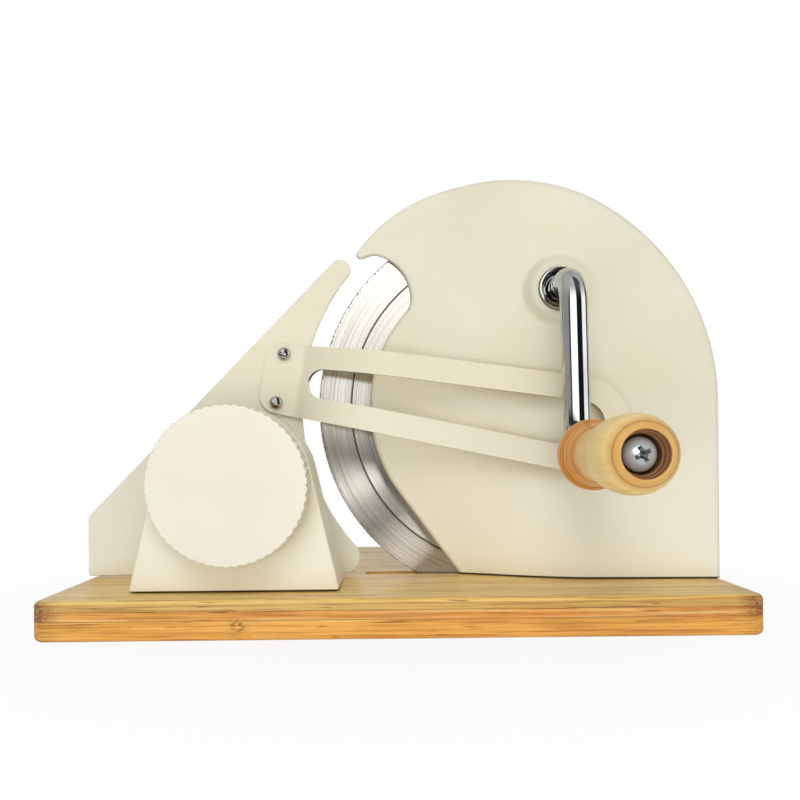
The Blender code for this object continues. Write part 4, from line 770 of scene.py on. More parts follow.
@dataclass(frozen=True)
class TurnedWood:
    """Lacquered wood turned on a lathe, with grain along the grip and fine tool rings.

    Attributes:
        name: Name of the material.
        flange: Depths along Y between which the darker flange ends.
        face: Depths along Y between which the end's face begins.
        groove: Radius of the ring turned into the face.
        recess: Radii inside which the recess is darkened, as darker bare wood and painted shade.
    """

    name: str = "grip_turned_wood"
    flange: Point = (-0.1030, -0.0960)
    face: Point = (-0.1500, -0.1470)
    groove: float = 0.0112
    recess: Point = (0.0084, 0.0087)

    def make(self) -> Material:
        """Return the material.

        Returns:
            The material.
        """
        g = Graph(self.name)
        along = g.split(g.coords["Object"])[1]
        grain = g.noise(g.stretched((190, 16, 300), (0.05, 0.0, 0.08)), 1.0, 3.0, 0.55, 0.8)
        pore = g.noise(g.stretched((1300, 70, 1300)), 1.0, 2.0, 0.6)
        broad = g.noise(g.stretched((46, 14, 46)), 1.0, 2.0, 0.5)
        reach = g.distance(g.stretched((1, 0, 1)), (GRIP_X, 0.0, GRIP_Z))
        lathe = g.add("CombineXYZ", {0: g.times(reach, 1500.0), 1: g.times(along, 1500.0)})
        tool = g.noise(lathe.outputs[0], 1.0, 2.0, 0.5)
        colour = g.ramp(grain, (0.30, linear(248, 208, 128)), (0.50, linear(255, 224, 150)),
                        (0.70, linear(255, 234, 170)))
        colour = g.stained(colour, (broad, 0.35, 0.70, 0.0, 0.30, (242, 198, 122)),
                           (pore, 0.60, 0.76, 0.0, 0.22, (188, 122, 54)))
        flange = g.span(along, *self.flange)
        colour = g.mix(g.times(flange, 0.88), colour, linear(238, 160, 56))
        ring = g.times(flange, g.span(tool, 0.52, 0.64, 0.0, 0.75))
        colour = g.mix(ring, colour, linear(150, 86, 30))
        colour = g.stained(colour, (along, *self.face, 0.75, 0.0, (206, 150, 64)))
        groove = g.times(g.span(g.off(reach, self.groove), 0.00008, 0.00038, 0.55, 0.0),
                         g.span(along, -0.1470, -0.1455, 1.0, 0.0))
        colour = g.mix(groove, colour, linear(160, 100, 40))
        # Painted shade, together with darker bare wood, inside the recess.
        inner = g.span(reach, *self.recess, 1.0, 0.0)
        colour = g.mix(g.times(inner, 0.88), colour, linear(122, 58, 26))
        height = g.plus(g.times(grain, 0.3), g.times(tool, 0.7))
        g.set(Base_Color=colour, Normal=g.bump(height, 0.12, 0.00008), Coat_Weight=0.35,
              Coat_Roughness=0.18, Roughness=g.span(grain, 0.3, 0.7, 0.36, 0.46),
              Subsurface_Weight=0.04, Subsurface_Radius=(0.003, 0.0015, 0.0006))
        return g.material


@dataclass(frozen=True)
class GroundSteel:
    """Blade steel, brushed round its axis, with a painted shadow line at the step where the ground
    band starts and painted shade on its teeth.

    The piece's own map holds the angle round the axis and the radius.

    Attributes:
        name: Name of the material.
        ground_from: Radius where the ground band starts.
        edge: Radius of the edge.
        teeth: Number of teeth.
    """

    name: str = "blade_ground_steel"
    ground_from: float = GROUND_FROM
    edge: float = BLADE_RADIUS
    teeth: int = EDGE_TEETH

    def make(self) -> Material:
        """Return the material.

        Returns:
            The material.
        """
        g = Graph(self.name)
        turn, radius, _ = g.split(g.coords["UV"])
        fine, coarse, short, wide, wander = (
            g.noise(g.stretched((*scale, 1), source="UV"), 1.0, detail, rough)
            for scale, detail, rough in (((5, 5200), 4.0, 0.65), ((3, 1100), 3.0, 0.6),
                                         ((90, 6400), 2.0, 0.6), ((16, 60), 2.0, 0.5),
                                         ((140, 1), 3.0, 0.7)))
        marks = g.plus(g.times(fine, 0.55), g.times(coarse, 0.45))
        colour = g.ramp(marks, (0.32, linear(140, 134, 122)), (0.50, linear(196, 193, 186)),
                        (0.64, linear(232, 231, 227)))
        colour = g.stained(colour, (short, 0.56, 0.70, 0.0, 0.45, (110, 102, 88)),
                           (wide, 0.40, 0.66, 0.0, 0.22, (176, 168, 152)))
        # Painted shadow line along the small step where the ground band starts.
        step = g.span(g.off(radius, self.ground_from + 0.0001), 0.00030, 0.00058, 1.0, 0.0)
        colour = g.mix(g.times(step, 0.92), colour, linear(30, 27, 22))
        # Painted shade in half of every tooth and a painted dark line along the edge; these and the
        # step line also lose most of their metal.
        beat = g.math("FRACT", g.plus(g.times(turn, float(self.teeth)), g.times(wander, 1.6)))
        deep = g.span(wander, 0.3, 0.7, 0.0004, 0.0011)
        reach = g.math("GREATER_THAN", radius, g.math("SUBTRACT", self.edge, deep))
        rim = g.span(radius, self.edge - 0.00034, self.edge - 0.00018, 0.0, 0.8)
        tick = g.math("MAXIMUM", g.times(g.math("LESS_THAN", beat, 0.52), reach), rim)
        colour = g.mix(g.times(tick, 0.85), colour, linear(40, 36, 30))
        tangent = g.add("Tangent", direction_type="UV_MAP", uv_map="polar")
        dull = g.math("MAXIMUM", step, tick)
        g.set(Base_Color=colour, Metallic=g.math("SUBTRACT", 1.0, g.times(dull, 0.7)),
              Anisotropic=1.0, Anisotropic_Rotation=0.25, Tangent=tangent.outputs[0],
              Roughness=g.span(marks, 0.3, 0.7, 0.23, 0.28), Normal=g.bump(marks, 0.05, 0.00003))
        return g.material


class Finishes:
    """Every material of the slicer, made once."""

    def __init__(self) -> None:
        """Make the materials."""
        foot = BOARD_TOP + 0.0009
        self.housing = Enamel("housing_enamel", (236, 231, 211), (232, 226, 200),
                              contact_shade_below=foot).make()
        self.guide = Enamel("guide_enamel", (237, 231, 208), (233, 226, 199), painted_edge_light=True).make()
        self.fence = Enamel("fence_enamel", (238, 232, 208), (232, 225, 198)).make()
        self.pedestal = Enamel("pedestal_enamel", (235, 229, 205), (231, 223, 195), (208, 190, 136),
                               contact_shade_below=foot).make()
        self.knob = Plastic("knob_plastic", (240, 236, 219), 0.42).make()
        self.board = Bamboo().make()
        self.grip = TurnedWood().make()
        self.blade = GroundSteel().make()
        self.steel = Metal("turned_steel", (0.58, 0.57, 0.55), 0.24, (60, 1800, 60)).make()
        self.chrome = Metal("polished_chrome", (0.60, 0.60, 0.59), 0.045, (900, 900, 900),
                            0.000004).make()
        self.nickel = Metal("satin_nickel", (0.72, 0.77, 0.76), 0.22, (500, 500, 500),
                            0.000006, 0.4, True).make()
        self.zinc = Metal("zinc_plate", (0.56, 0.57, 0.58), 0.30).make()
        self.bronze = Metal("sintered_bronze", (0.56, 0.40, 0.20), 0.38, (900, 900, 900),
                            0.00004).make()
        self.nylon = Plastic("gear_nylon", (228, 226, 214), 0.48).make()


@dataclass
class Assembly:
    """Part of the slicer that makes its pieces and dresses them.

    Attributes:
        finishes: The slicer's materials.
        body: Body that the pieces ride on.
    """

    finishes: Finishes
    body: Body

    def add(self, piece: Object, material: Material, slot: Slot, *nodes: str,
            body: Body | None = None) -> None:
        """Dress a piece, let it ride on its body and stand for its nodes.

        Args:
            piece: The finished piece.
            material: Its material.
            slot: Slot of the record that the material belongs to; not used.
            nodes: CAD nodes that the piece stands for.
            body: Body, where it isn't the assembly's own.
        """
        self.paint(piece, material)
        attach(piece, (body or self.body).value)
        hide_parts(*nodes)
        LOG.info("%s: %d faces", piece.name, len(piece.data.polygons))

    @staticmethod
    def paint(piece: Object, material: Material) -> None:
        """Give a piece its one material."""
        piece.data.materials.clear()
        piece.data.materials.append(material)

    def dress(self, material: Material, *nodes: str, **copies: int) -> None:
        """Give CAD nodes a finish.

        Args:
            material: The material.
            nodes: Names of single nodes.
            copies: Names of numbered nodes, each with how many there are.
        """
        numbered = [f"{name}_{i}" for name, count in copies.items() for i in range(1, count + 1)]
        for name in (*nodes, *numbered):
            self.paint(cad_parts[name], material)


@dataclass
class Board(Assembly):
    """Bamboo board with its blade slot and screw holes.

    Attributes:
        length: Along X.
        depth: Along Y.
        corner: Radius of its corners.
        edge: Rounding of its edges.
        slot_ends: Room in the slot to the left and to the right of the blade.
        slot_sides: Room in the slot in front of and behind the blade's middle plane.
        slot_corner: Radius of the slot's corners.
        screw_hole: Radius of a screw's hole.
        head_hole: Radius of the hole for its head.
        head_depth: Depth of that hole from below.
    """

    length: float = 0.303
    depth: float = 0.185
    corner: float = 0.005
    edge: float = 0.0025
    slot_ends: Point = (0.026, 0.013)
    slot_sides: Point = (0.003, 0.0065)
    slot_corner: float = 0.003
    screw_hole: float = 0.0026
    head_hole: float = 0.0055
    head_depth: float = 0.008

    @staticmethod
    def block(name: str, xs: Point, ys: Point, zs: Point, corner: float) -> Mesh:
        """Return a block between two X, two Y and two Z, with its upright edges rounded.

        Args:
            name: Name of the mesh.
            xs: Left and right side.
            ys: Front and back.
            zs: Bottom and top.
            corner: Radius of the upright edges.

        Returns:
            The mesh.
        """
        (x0, x1), (y0, y1) = xs, ys
        flat = rounded([(x0, y0, corner), (x1, y0, corner), (x1, y1, corner), (x0, y1, corner)])
        return prism(name, flat, *zs, Along.Z)

    def build(self) -> None:
        """Make the board and the screws' holes."""
        hx, hy = self.length / 2, self.depth / 2
        mesh = self.block("base_board", (-hx, hx), (-hy, hy), (0.0, BOARD_TOP), self.corner)
        board = round_edges(piece_of("bamboo_board", mesh), self.edge, 5, 60)
        chord = math.sqrt(BLADE_RADIUS ** 2 - (BLADE_Z - BOARD_TOP) ** 2)
        xs = (BLADE_X - chord - self.slot_ends[0], BLADE_X + chord + self.slot_ends[1])
        ys = (BLADE_Y - self.slot_sides[0], BLADE_Y + self.slot_sides[1])
        cut(board, self.block("slot", xs, ys, (-0.002, BOARD_TOP + 0.002), self.slot_corner))
        for x, y in FOOT_SCREWS + PEDESTAL_SCREWS:
            cut(board, bar(self.screw_hole, -0.001, BOARD_TOP + 0.001, x, y, 24, Along.Z),
                bar(self.head_hole, -0.001, self.head_depth, x, y, 32, Along.Z))
        self.add(level_faces(board), self.finishes.board, Slot.BOARD, "base_board")


@dataclass
class Housing(Assembly):
    """Pressed pan over the drive, with the soft boss round the crank.

    Attributes:
        skin: Thickness of the sheet.
        rim: Depth of the rim.
        fillet: Rounding of the face's edge.
        draft: Slant of the wall in degrees.
        mouth: Radius of the open left edge about the blade's axis.
        mouth_angles: Upper and lower end of that edge in degrees.
        right_centre: Centre of the outline's big right arc.
        right_radius: Radius of that arc.
        left_radius: Radius of the upper left arc, which goes on from it.
        left_angles: Start and end of the upper left arc in degrees.
        nose_radius: Radius of the round point over the mouth.
        nose_end: Angle in degrees where that point goes over into the hook.
        hook_at: Place of the hook's arc from the blade's axis.
        hook_radius: Radius of that arc.
        cell: Size of the face's grid, and of the finer one round the boss.
        boss: Radius of its flat top, its outer radius and its height.
        mouth_depth: Depth of the face at the mouth.
        swell: How much deeper it lies at the end of its swelling part.
        swell_end: Distance of that end to the right of the blade's axis.
        slope: Slope of the face from there on.
        bush_hole: Radius of the hole for the crank's bush.
    """

    skin: float = 0.0012
    rim: float = 0.0015
    fillet: float = 0.0030
    draft: float = 9.0
    mouth: float = 0.0693
    mouth_angles: Point = (136.8, 216.4)
    right_centre: Point = (0.0423, 0.1003)
    right_radius: float = 0.10866
    left_radius: float = 0.0777
    left_angles: Point = (85.3, 143.9)
    nose_radius: float = 0.0020
    nose_end: float = 272
    hook_at: Point = (-0.0714, 0.0538)
    hook_radius: float = 0.0229
    cell: Point = (0.0026, 0.00085)
    boss: tuple[float, float, float] = (0.0122, 0.0170, 0.0032)
    mouth_depth: float = 0.0032
    swell: float = 0.0216
    swell_end: float = 0.0378
    slope: float = 0.042
    bush_hole: float = 0.0103

    def mouth_line(self, z: float) -> float:
        """Return the X of the open left edge at a height, and its smooth continuation.

        Args:
            z: Height.

        Returns:
            The X, also above and below the mouth.
        """
        top, low = (self.mouth * math.sin(math.radians(a)) for a in self.mouth_angles)
        height = z - BLADE_Z
        held = min(max(height, low), top)
        x = BLADE_X - math.sqrt(self.mouth ** 2 - held ** 2)
        x += 0.35 * max(0.0, height - top)
        return x + max(0.0, low - height) * math.tan(math.radians(self.mouth_angles[1]))

    def face_depth(self, x: float, z: float) -> float:
        """Return the depth of the swelling face, without the boss.

        Args:
            x: World X.
            z: World Z.

        Returns:
            The depth.
        """
        left, right = self.mouth_line(z), BLADE_X + self.swell_end
        t = (x - left) / (right - left)
        t = min(0.5 * (t + math.hypot(t, 0.12)), 1.0)
        swelling = self.swell * (1 - (1 - t) ** 1.6)
        return self.mouth_depth + swelling + self.slope * max(0.0, x - right)

    def depth(self, x: float, z: float) -> float:
        """Return the depth of the face with the boss blended in.

        Args:
            x: World X.
            z: World Z.

        Returns:
            The depth.
        """
        base = self.face_depth(x, z)
        inner, outer, height = self.boss
        reach = math.hypot(x - CRANK_X, z - CRANK_Z)
        if reach >= outer:
            return base
        share = min((outer - reach) / (outer - inner), 1.0)
        share = share * share * (3 - 2 * share)
        return base * (1 - share) + share * (self.face_depth(CRANK_X, CRANK_Z) + height)

    def crown(self) -> Point:
        """Return the centre of the outline's upper left arc."""
        return polar(*self.right_centre, self.right_radius - self.left_radius, self.left_angles[0])

    def nose(self) -> Point:
        """Return the centre of the round point over the mouth."""
        return polar(*self.crown(), self.left_radius - self.nose_radius, self.left_angles[1])

    def path(self) -> list[Point]:
        """Return the outline from the bottom right, over the top, to the bottom left.

        Returns:
            The open outline.
        """
        cx, cz = self.right_centre
        low = BOARD_TOP + GAP
        made = [(cx + self.right_radius, low + (cz - low) * i / 30) for i in range(30)]
        made += arc(cx, cz, self.right_radius, 0, self.left_angles[0], 64)
        made += arc(*self.crown(), self.left_radius, *self.left_angles, 34)[1:]
        nose_x, nose_z = self.nose()
        made += arc(nose_x, nose_z, self.nose_radius, self.left_angles[1], self.nose_end, 11)[1:]
        bay = BLADE_X + self.hook_at[0], BLADE_Z + self.hook_at[1]
        start, end, lip = 76, -2, 0.008
        hook = [made[-1], (nose_x + 0.0021, nose_z - 0.00165), (nose_x + 0.0045, nose_z - 0.0007),
                polar(*bay, self.hook_radius, start)]
        made += smooth_curve(hook, 5)[1:-1]
        made += arc(*bay, self.hook_radius, start, end, 22)
        made += arc(*polar(*bay, self.hook_radius - lip, end), lip, end, -44, 8)[1:]
        made += arc(BLADE_X, BLADE_Z, self.mouth, *self.mouth_angles, 40)
        (x, z), foot = made[-1], self.mouth_line(low)
        return made + [(x + (foot - x) * i / 16, z + (low - z) * i / 16) for i in range(1, 17)]

    def edge_round(self, x: float, z: float) -> float:
        """Return the rounding of the face's edge at a point, tighter at the nose.

        Args:
            x: World X.
            z: World Z.

        Returns:
            The radius.
        """
        nose_x, nose_z = self.nose()
        beyond = max(0.0, math.hypot(x - nose_x, z - nose_z) - self.nose_radius)
        swell = max(0.62 * (self.face_depth(x, z) - self.rim), self.skin + 0.0001)
        return min(swell, self.fillet, 0.0014 + 0.4 * beyond)

    @staticmethod
    def normals(path: Sequence[Point]) -> list[Vector]:
        """Return the outward normals of an open path that keeps its shape on the left.

        Args:
            path: Points of the path.

        Returns:
            One normal for each point.
        """
        made = []
        for i in range(len(path)):
            before, after = Vector(path[max(i - 1, 0)]), Vector(path[min(i + 1, len(path) - 1)])
            along = (after - before).normalized()
            normal = Vector((along.y, -along.x))
            if i in (0, len(path) - 1):
                normal = Vector((math.copysign(1 / max(abs(normal.x), 0.3), normal.x), 0.0))
            made.append(normal)
        return made

    @staticmethod
    def slice_grid(bm: bmesh.types.BMesh, low: Point, high: Point, cell: float,
                   reach: float) -> None:
        """Cut faces along a grid.

        Args:
            bm: Mesh to cut.
            low: Least X and Z of the grid.
            high: Greatest X and Z of the grid.
            cell: Size of a cell.
            reach: Distance from the crank's axis within which faces are cut.
        """
        wide, tall = (int((b - a) / cell) for a, b in zip(low, high))
        cuts = [((low[0] + cell * i, 0, 0), (1, 0, 0)) for i in range(1, wide)]
        cuts += [((0, 0, low[1] + cell * i), (0, 0, 1)) for i in range(1, tall)]
        for spot, way in cuts:
            faces = [f for f in bm.faces if abs(f.calc_center_median().x - CRANK_X) < reach
                     and abs(f.calc_center_median().z - CRANK_Z) < reach]
            parts = faces + list({e for f in faces for e in f.edges})
            parts += list({v for f in faces for v in f.verts})
            bmesh.ops.bisect_plane(bm, geom=parts, dist=1e-4, plane_co=spot, plane_no=way)

    def face_grid(self) -> tuple[list[Point], list[list[int]], list[int]]:
        """Cut the face into a fine grid, finer round the boss.

        Returns:
            Its points, its faces, and the points of its edge from bottom right to bottom left.
        """
        path = self.path()
        inset = [(x - n.x * self.edge_round(x, z), z - n.y * self.edge_round(x, z))
                 for (x, z), n in zip(path, self.normals(path))]
        xs, zs = zip(*inset)
        bm = bmesh.new()
        bm.faces.new([bm.verts.new((x, 0.0, z)) for x, z in inset])
        self.slice_grid(bm, (min(xs), BOARD_TOP), (max(xs), max(zs)), self.cell[0], math.inf)
        half = self.boss[1] + 0.0030
        self.slice_grid(bm, (CRANK_X - half, CRANK_Z - half), (CRANK_X + half, CRANK_Z + half),
                        self.cell[1], self.boss[1] + 0.002)
        bm.verts.index_update()
        points = [(v.co.x, v.co.z) for v in bm.verts]
        faces = [[v.index for v in f.verts] for f in bm.faces]
        follows: dict[int, list[int]] = {}
        for edge in bm.edges:
            if edge.is_boundary:
                a, b = (v.index for v in edge.verts)
                follows.setdefault(a, []).append(b)
                follows.setdefault(b, []).append(a)
        bm.free()
        floor = [i for i in follows if abs(points[i][1] - BOARD_TOP - GAP) < 1e-6]
        start, stop = max(floor, key=lambda i: points[i][0]), min(floor, key=lambda i: points[i][0])
        edge_points = [start]
        previous, current = start, max(follows[start], key=lambda i: points[i][1])
        while current != stop:
            edge_points.append(current)
            previous, current = current, [i for i in follows[current] if i != previous][0]
        return points, faces, edge_points + [stop]

    def shell(self) -> Mesh:
        """Return the pan: face, rounded edge, drafted wall and rim, with its inner skin.

        Returns:
            The mesh.
        """
        points, faces, edge = self.face_grid()
        outer = [(x, at_depth(self.depth(x, z)), z) for x, z in points]
        inner = [(x, at_depth(self.depth(x, z) - self.skin), z) for x, z in points]
        slope = math.tan(math.radians(self.draft))
        normals = self.normals([points[i] for i in edge])
        before = edge
        for angle in (15, 30, 45, 60, 75, 90, None):
            a = math.radians(90 if angle is None else angle)
            row = []
            for index, normal in zip(edge, normals):
                x, z = points[index]
                d, r = self.depth(x, z), self.edge_round(x, z)
                out, deep = r * math.sin(a), d - r * (1 - math.cos(a))
                if angle is None:
                    out, deep = r + slope * (d - r - self.rim), self.rim
                back = out - self.skin * math.sin(a)
                outer.append((x + normal.x * out, at_depth(deep), z + normal.y * out))
                inner.append((x + normal.x * back, at_depth(deep - self.skin * math.cos(a)),
                              z + normal.y * back))
                row.append(len(outer) - 1)
            faces += [[before[i], row[i], row[i + 1], before[i + 1]] for i in range(len(row) - 1)]
            before = row
        count = len(outer)
        uses: dict[frozenset[int], list[tuple[int, int]]] = {}
        for face in faces:
            for a, b in zip(face, face[1:] + face[:1]):
                uses.setdefault(frozenset((a, b)), []).append((a, b))
        solid = faces + [[i + count for i in reversed(face)] for face in faces]
        solid += [[u[0][1], u[0][0], u[0][0] + count, u[0][1] + count]
                  for u in uses.values() if len(u) == 1]
        return mesh_from("housing", outer + inner, solid)

    def build(self) -> None:
        """Make the pan and the chromed crank bush, and dress the frame behind it."""
        pan = piece_of("pressed_housing", self.shell(), 50)
        centre = self.face_depth(CRANK_X, CRANK_Z)
        top = centre + self.boss[2]
        cut(pan, bar(self.bush_hole, at_depth(centre - 0.010), at_depth(top + 0.004),
                     CRANK_X, CRANK_Z, 96))
        self.add(pan, self.finishes.housing, Slot.ENAMEL, "housing_shell")
        bore, rim, lip = 0.0063, 0.0100, 0.0006
        section = [(bore, centre - 0.0040), (rim, centre - 0.0040)]
        section += arc(rim - lip, top + lip, lip, 0, 90, 6)
        section += [(rim - inward, top + rise) for inward, rise in (
            (0.0011, 0.0012), (0.0013, 0.0010), (0.0014, -0.0006), (0.0018, -0.0006),
            (0.0019, 0.0002), (0.0022, 0.0005), (0.0026, 0.0005), (0.0029, 0.0002),
            (0.0031, -0.0014), (rim - bore, -0.0016))]
        ring = turned("bush", [(r, at_depth(d)) for r, d in section], CRANK_X, CRANK_Z, 128)
        bush = piece_of("crank_bush", ring, 32)
        self.add(bush, self.finishes.chrome, Slot.CHROME, "crank_outer_bush")
        self.dress(self.finishes.zinc, "frame_plate", housing_post=3, housing_screw=3,
                   frame_foot_nut=3, frame_foot_screw=3, pedestal_screw=4)
        self.dress(self.finishes.bronze, "blade_bush", "crank_inner_bush")


class RingOfCopies:
    """Node tree that sets copies of a shape in a ring about an axis along Y."""

    INPUTS = {"Geometry": "Geometry", "Shape": "Object", "Count": "Int", "Radius": "Float",
              "Centre": "Vector", "Finish": "Material"}

    def __init__(self) -> None:
        """Build the tree with its named inputs."""
        self.tree = bpy.data.node_groups.new("ring_of_copies", "GeometryNodeTree")
        face = self.tree.interface
        for name, kind in self.INPUTS.items():
            face.new_socket(name, in_out="INPUT", socket_type="NodeSocket" + kind)
        face.new_socket("Geometry", in_out="OUTPUT", socket_type="NodeSocketGeometry")
        g = Nodes(self.tree)
        given = g.add("NodeGroupInput").outputs
        turn = g.times(g.add("GeometryNodeInputIndex").outputs[0],
                       g.math("DIVIDE", 2 * math.pi, given["Count"]))
        spot = g.add("CombineXYZ", {"X": given["Radius"]})
        spot = g.add("VectorRotate", {"Vector": spot.outputs[0], "Angle": turn},
                     rotation_type="Y_AXIS")
        spot = g.add("VectorMath", {0: spot.outputs[0], 1: given["Centre"]})
        points = g.add("GeometryNodePoints", {"Count": given["Count"], "Position": spot.outputs[0]})
        shape = g.add("GeometryNodeObjectInfo", {"Object": given["Shape"]})
        spin = g.add("CombineXYZ", {"Y": turn})
        copies = g.add("GeometryNodeInstanceOnPoints", {
            "Points": points.outputs[0], "Instance": shape.outputs["Geometry"],
            "Rotation": spin.outputs[0]})
        real = g.add("GeometryNodeRealizeInstances", {0: copies.outputs[0]})
        done = g.add("GeometryNodeSetMaterial", {"Geometry": real.outputs[0],
                                                 "Material": given["Finish"]})
        g.add("NodeGroupOutput", {0: done.outputs[0]})

    def make(self, name: str, shape: Mesh, count: int, radius: float, centre: Place,
             finish: Material) -> Mesh:
        """Return the copies as one plain mesh.

        Args:
            name: Name of the mesh.
            shape: Shape about the origin, its outward side along +X.
            count: Number of copies.
            radius: Radius of the ring.
            centre: Centre of the ring.
            finish: Material of the copies.

        Returns:
            The mesh.
        """
        pattern = piece_of(name + "_pattern", shape, 40)
        piece = placed(name, bpy.data.meshes.new(name))
        step = piece.modifiers.new("ring", "NODES")
        step.node_group = self.tree
        values = {"Shape": pattern, "Count": count, "Radius": radius, "Centre": centre,
                  "Finish": finish}
        for item in self.tree.interface.items_tree:
            if item.in_out == "INPUT" and item.name in values:
                step[item.identifier] = values[item.name]
        mesh = bake(piece).data
        bpy.data.objects.remove(pattern)
        bpy.data.objects.remove(piece)
        return mesh


@dataclass
class Blade(Assembly):
    """Round bread blade with a ground band and a fine toothed edge.

    Attributes:
        thickness: Thickness of the disc.
        bore: Radius of the hole for the hub.
        ground: Radius where the ground band starts.
        teeth: Number of teeth.
        tooth: Height of a tooth.
        clamp_ring: Radius of the ring that the clamp's three screws stand on.
        clamp_hole: Radius of a hole for them.
        sharp: Angle in degrees above which an edge stays sharp.
    """

    thickness: float = 0.0012
    bore: float = 0.0063
    ground: float = GROUND_FROM
    teeth: int = EDGE_TEETH
    tooth: float = 0.0004
    clamp_ring: float = 0.0145
    clamp_hole: float = 0.0020
    sharp: float = 25

    def disc(self) -> Mesh:
        """Return the disc up to the roots of its teeth.

        Returns:
            The mesh.
        """
        half = self.thickness / 2
        root = BLADE_RADIUS - self.tooth
        section = [(self.bore, half), (0.045, half), (self.ground - 0.0003, half),
                   (self.ground, half - 0.00015), (self.ground + 0.0004, half - 0.00015),
                   (root - 0.0068, half - 0.00022), (root - 0.0026, 0.00030), (root, 0.00020)]
        rows = section + [(r, -d) for r, d in reversed(section)]
        profile = [(r, at_depth(d)) for r, d in rows]
        return turned("blade", profile, BLADE_X, BLADE_Z, self.teeth * 3)

    def one_tooth(self) -> Mesh:
        """Return one leaning wedge tooth about the origin, its tip along +X.

        Returns:
            The mesh.
        """
        pitch = 2 * math.pi * BLADE_RADIUS / self.teeth
        outline = [(-0.0010, -pitch * 0.46), (0.0, -pitch * 0.46),
                   (self.tooth * 0.9, -pitch * 0.30), (self.tooth - 0.00004, pitch * 0.10),
                   (self.tooth * 0.7, pitch * 0.34), (0.0, pitch * 0.46),
                   (-0.0010, pitch * 0.46)]
        return prism("tooth", outline, -0.00017, 0.00017)

    @staticmethod
    def map_polar(mesh: Mesh) -> None:
        """Give a mesh a map of the angle round the blade's axis and the radius.

        Args:
            mesh: The mesh, in world metres.
        """
        layer = mesh.uv_layers.new(name="polar")
        for polygon in mesh.polygons:
            spots = [mesh.vertices[v].co for v in polygon.vertices]
            turns = [math.atan2(p.z - BLADE_Z, p.x - BLADE_X) / (2 * math.pi) for p in spots]
            wrap = max(turns) - min(turns) > 0.5
            for loop, spot, turn in zip(polygon.loop_indices, spots, turns):
                layer.data[loop].uv = (turn + 1.0 if wrap and turn < 0 else turn,
                                       math.hypot(spot.x - BLADE_X, spot.z - BLADE_Z))

    def build(self) -> Object:
        """Make the disc, and dress its hub, clamp and gear.

        Returns:
            The disc.
        """
        edge = RingOfCopies().make("edge_teeth", self.one_tooth(), self.teeth,
                                   BLADE_RADIUS - self.tooth, (BLADE_X, BLADE_Y, BLADE_Z),
                                   self.finishes.blade)
        disc = piece_of("serrated_blade", self.disc(), self.sharp)
        for i in range(3):
            angle = 2 * math.pi * i / 3 + 0.5
            cut(disc, bar(self.clamp_hole, at_depth(-0.002), at_depth(0.002),
                          BLADE_X + self.clamp_ring * math.cos(angle),
                          BLADE_Z + self.clamp_ring * math.sin(angle), 20))
        bm = bmesh.new()
        for mesh in (disc.data, edge):
            bm.from_mesh(mesh)
        disc.data = mesh_of("serrated_blade", bm)
        shade(disc.data, self.sharp)
        self.map_polar(disc.data)
        self.add(disc, self.finishes.blade, Slot.BLADE, "blade_disc")
        self.dress(self.finishes.steel, "blade_clamp")
        self.dress(self.finishes.zinc, "blade_hub", "blade_circlip", blade_clamp_screw=3)
        self.dress(self.finishes.nylon, "blade_gear")
        return disc


def domed_head(name: str, radius: float, height: float, shank: float, seat: float, tip: float,
               x: float, z: float, turn: float) -> Object:
    """Make a screw with a domed head and a crossed recess, facing -Y.

    Args:
        name: Name of the piece.
        radius: Radius of the head.
        height: Height of the dome.
        shank: Radius of the shank.
        seat: Y of the head's underside.
        tip: Y of the shank's end.
        x: Axis's X.
        z: Axis's Z.
        turn: Turn of the recess in degrees.

    Returns:
        The piece.
    """
    profile = [(0.0, seat - height)]
    profile += [(radius * math.sin(math.radians(a)),
                 seat - 0.18 * height - 0.82 * height * math.cos(math.radians(a)))
                for a in (8, 20, 34, 48, 62, 76, 90)]
    profile += [(radius, seat - 0.0001), (radius - 0.0002, seat), (shank, seat), (shank, tip),
                (0.0, tip)]
    head = piece_of(name, turned(name, profile, x, z, 64), 40)
    arm, wide = radius * 0.52, radius * 0.13
    for angle in (turn, turn + 90):
        recess = prism("recess", [(-arm, -wide), (arm, -wide), (arm, wide), (-arm, wide)],
                       -height - 0.001, -height * 0.34)
        for vert in recess.vertices:
            if vert.co.y > -height * 0.5:
                vert.co.x *= 0.45
                vert.co.z *= 0.7
        recess.transform(Matrix.Translation((x, seat, z))
                         @ Matrix.Rotation(math.radians(angle), 4, "Y"))
        cut(head, recess)
    cut(head, turned("eye", [(0.0, seat - height - 0.001), (wide * 2.1, seat - height - 0.001),
                             (wide * 1.2, seat - height * 0.30), (0.0, seat - height * 0.22)],
                     x, z, 24))
    shade(head.data, 35)
    return head


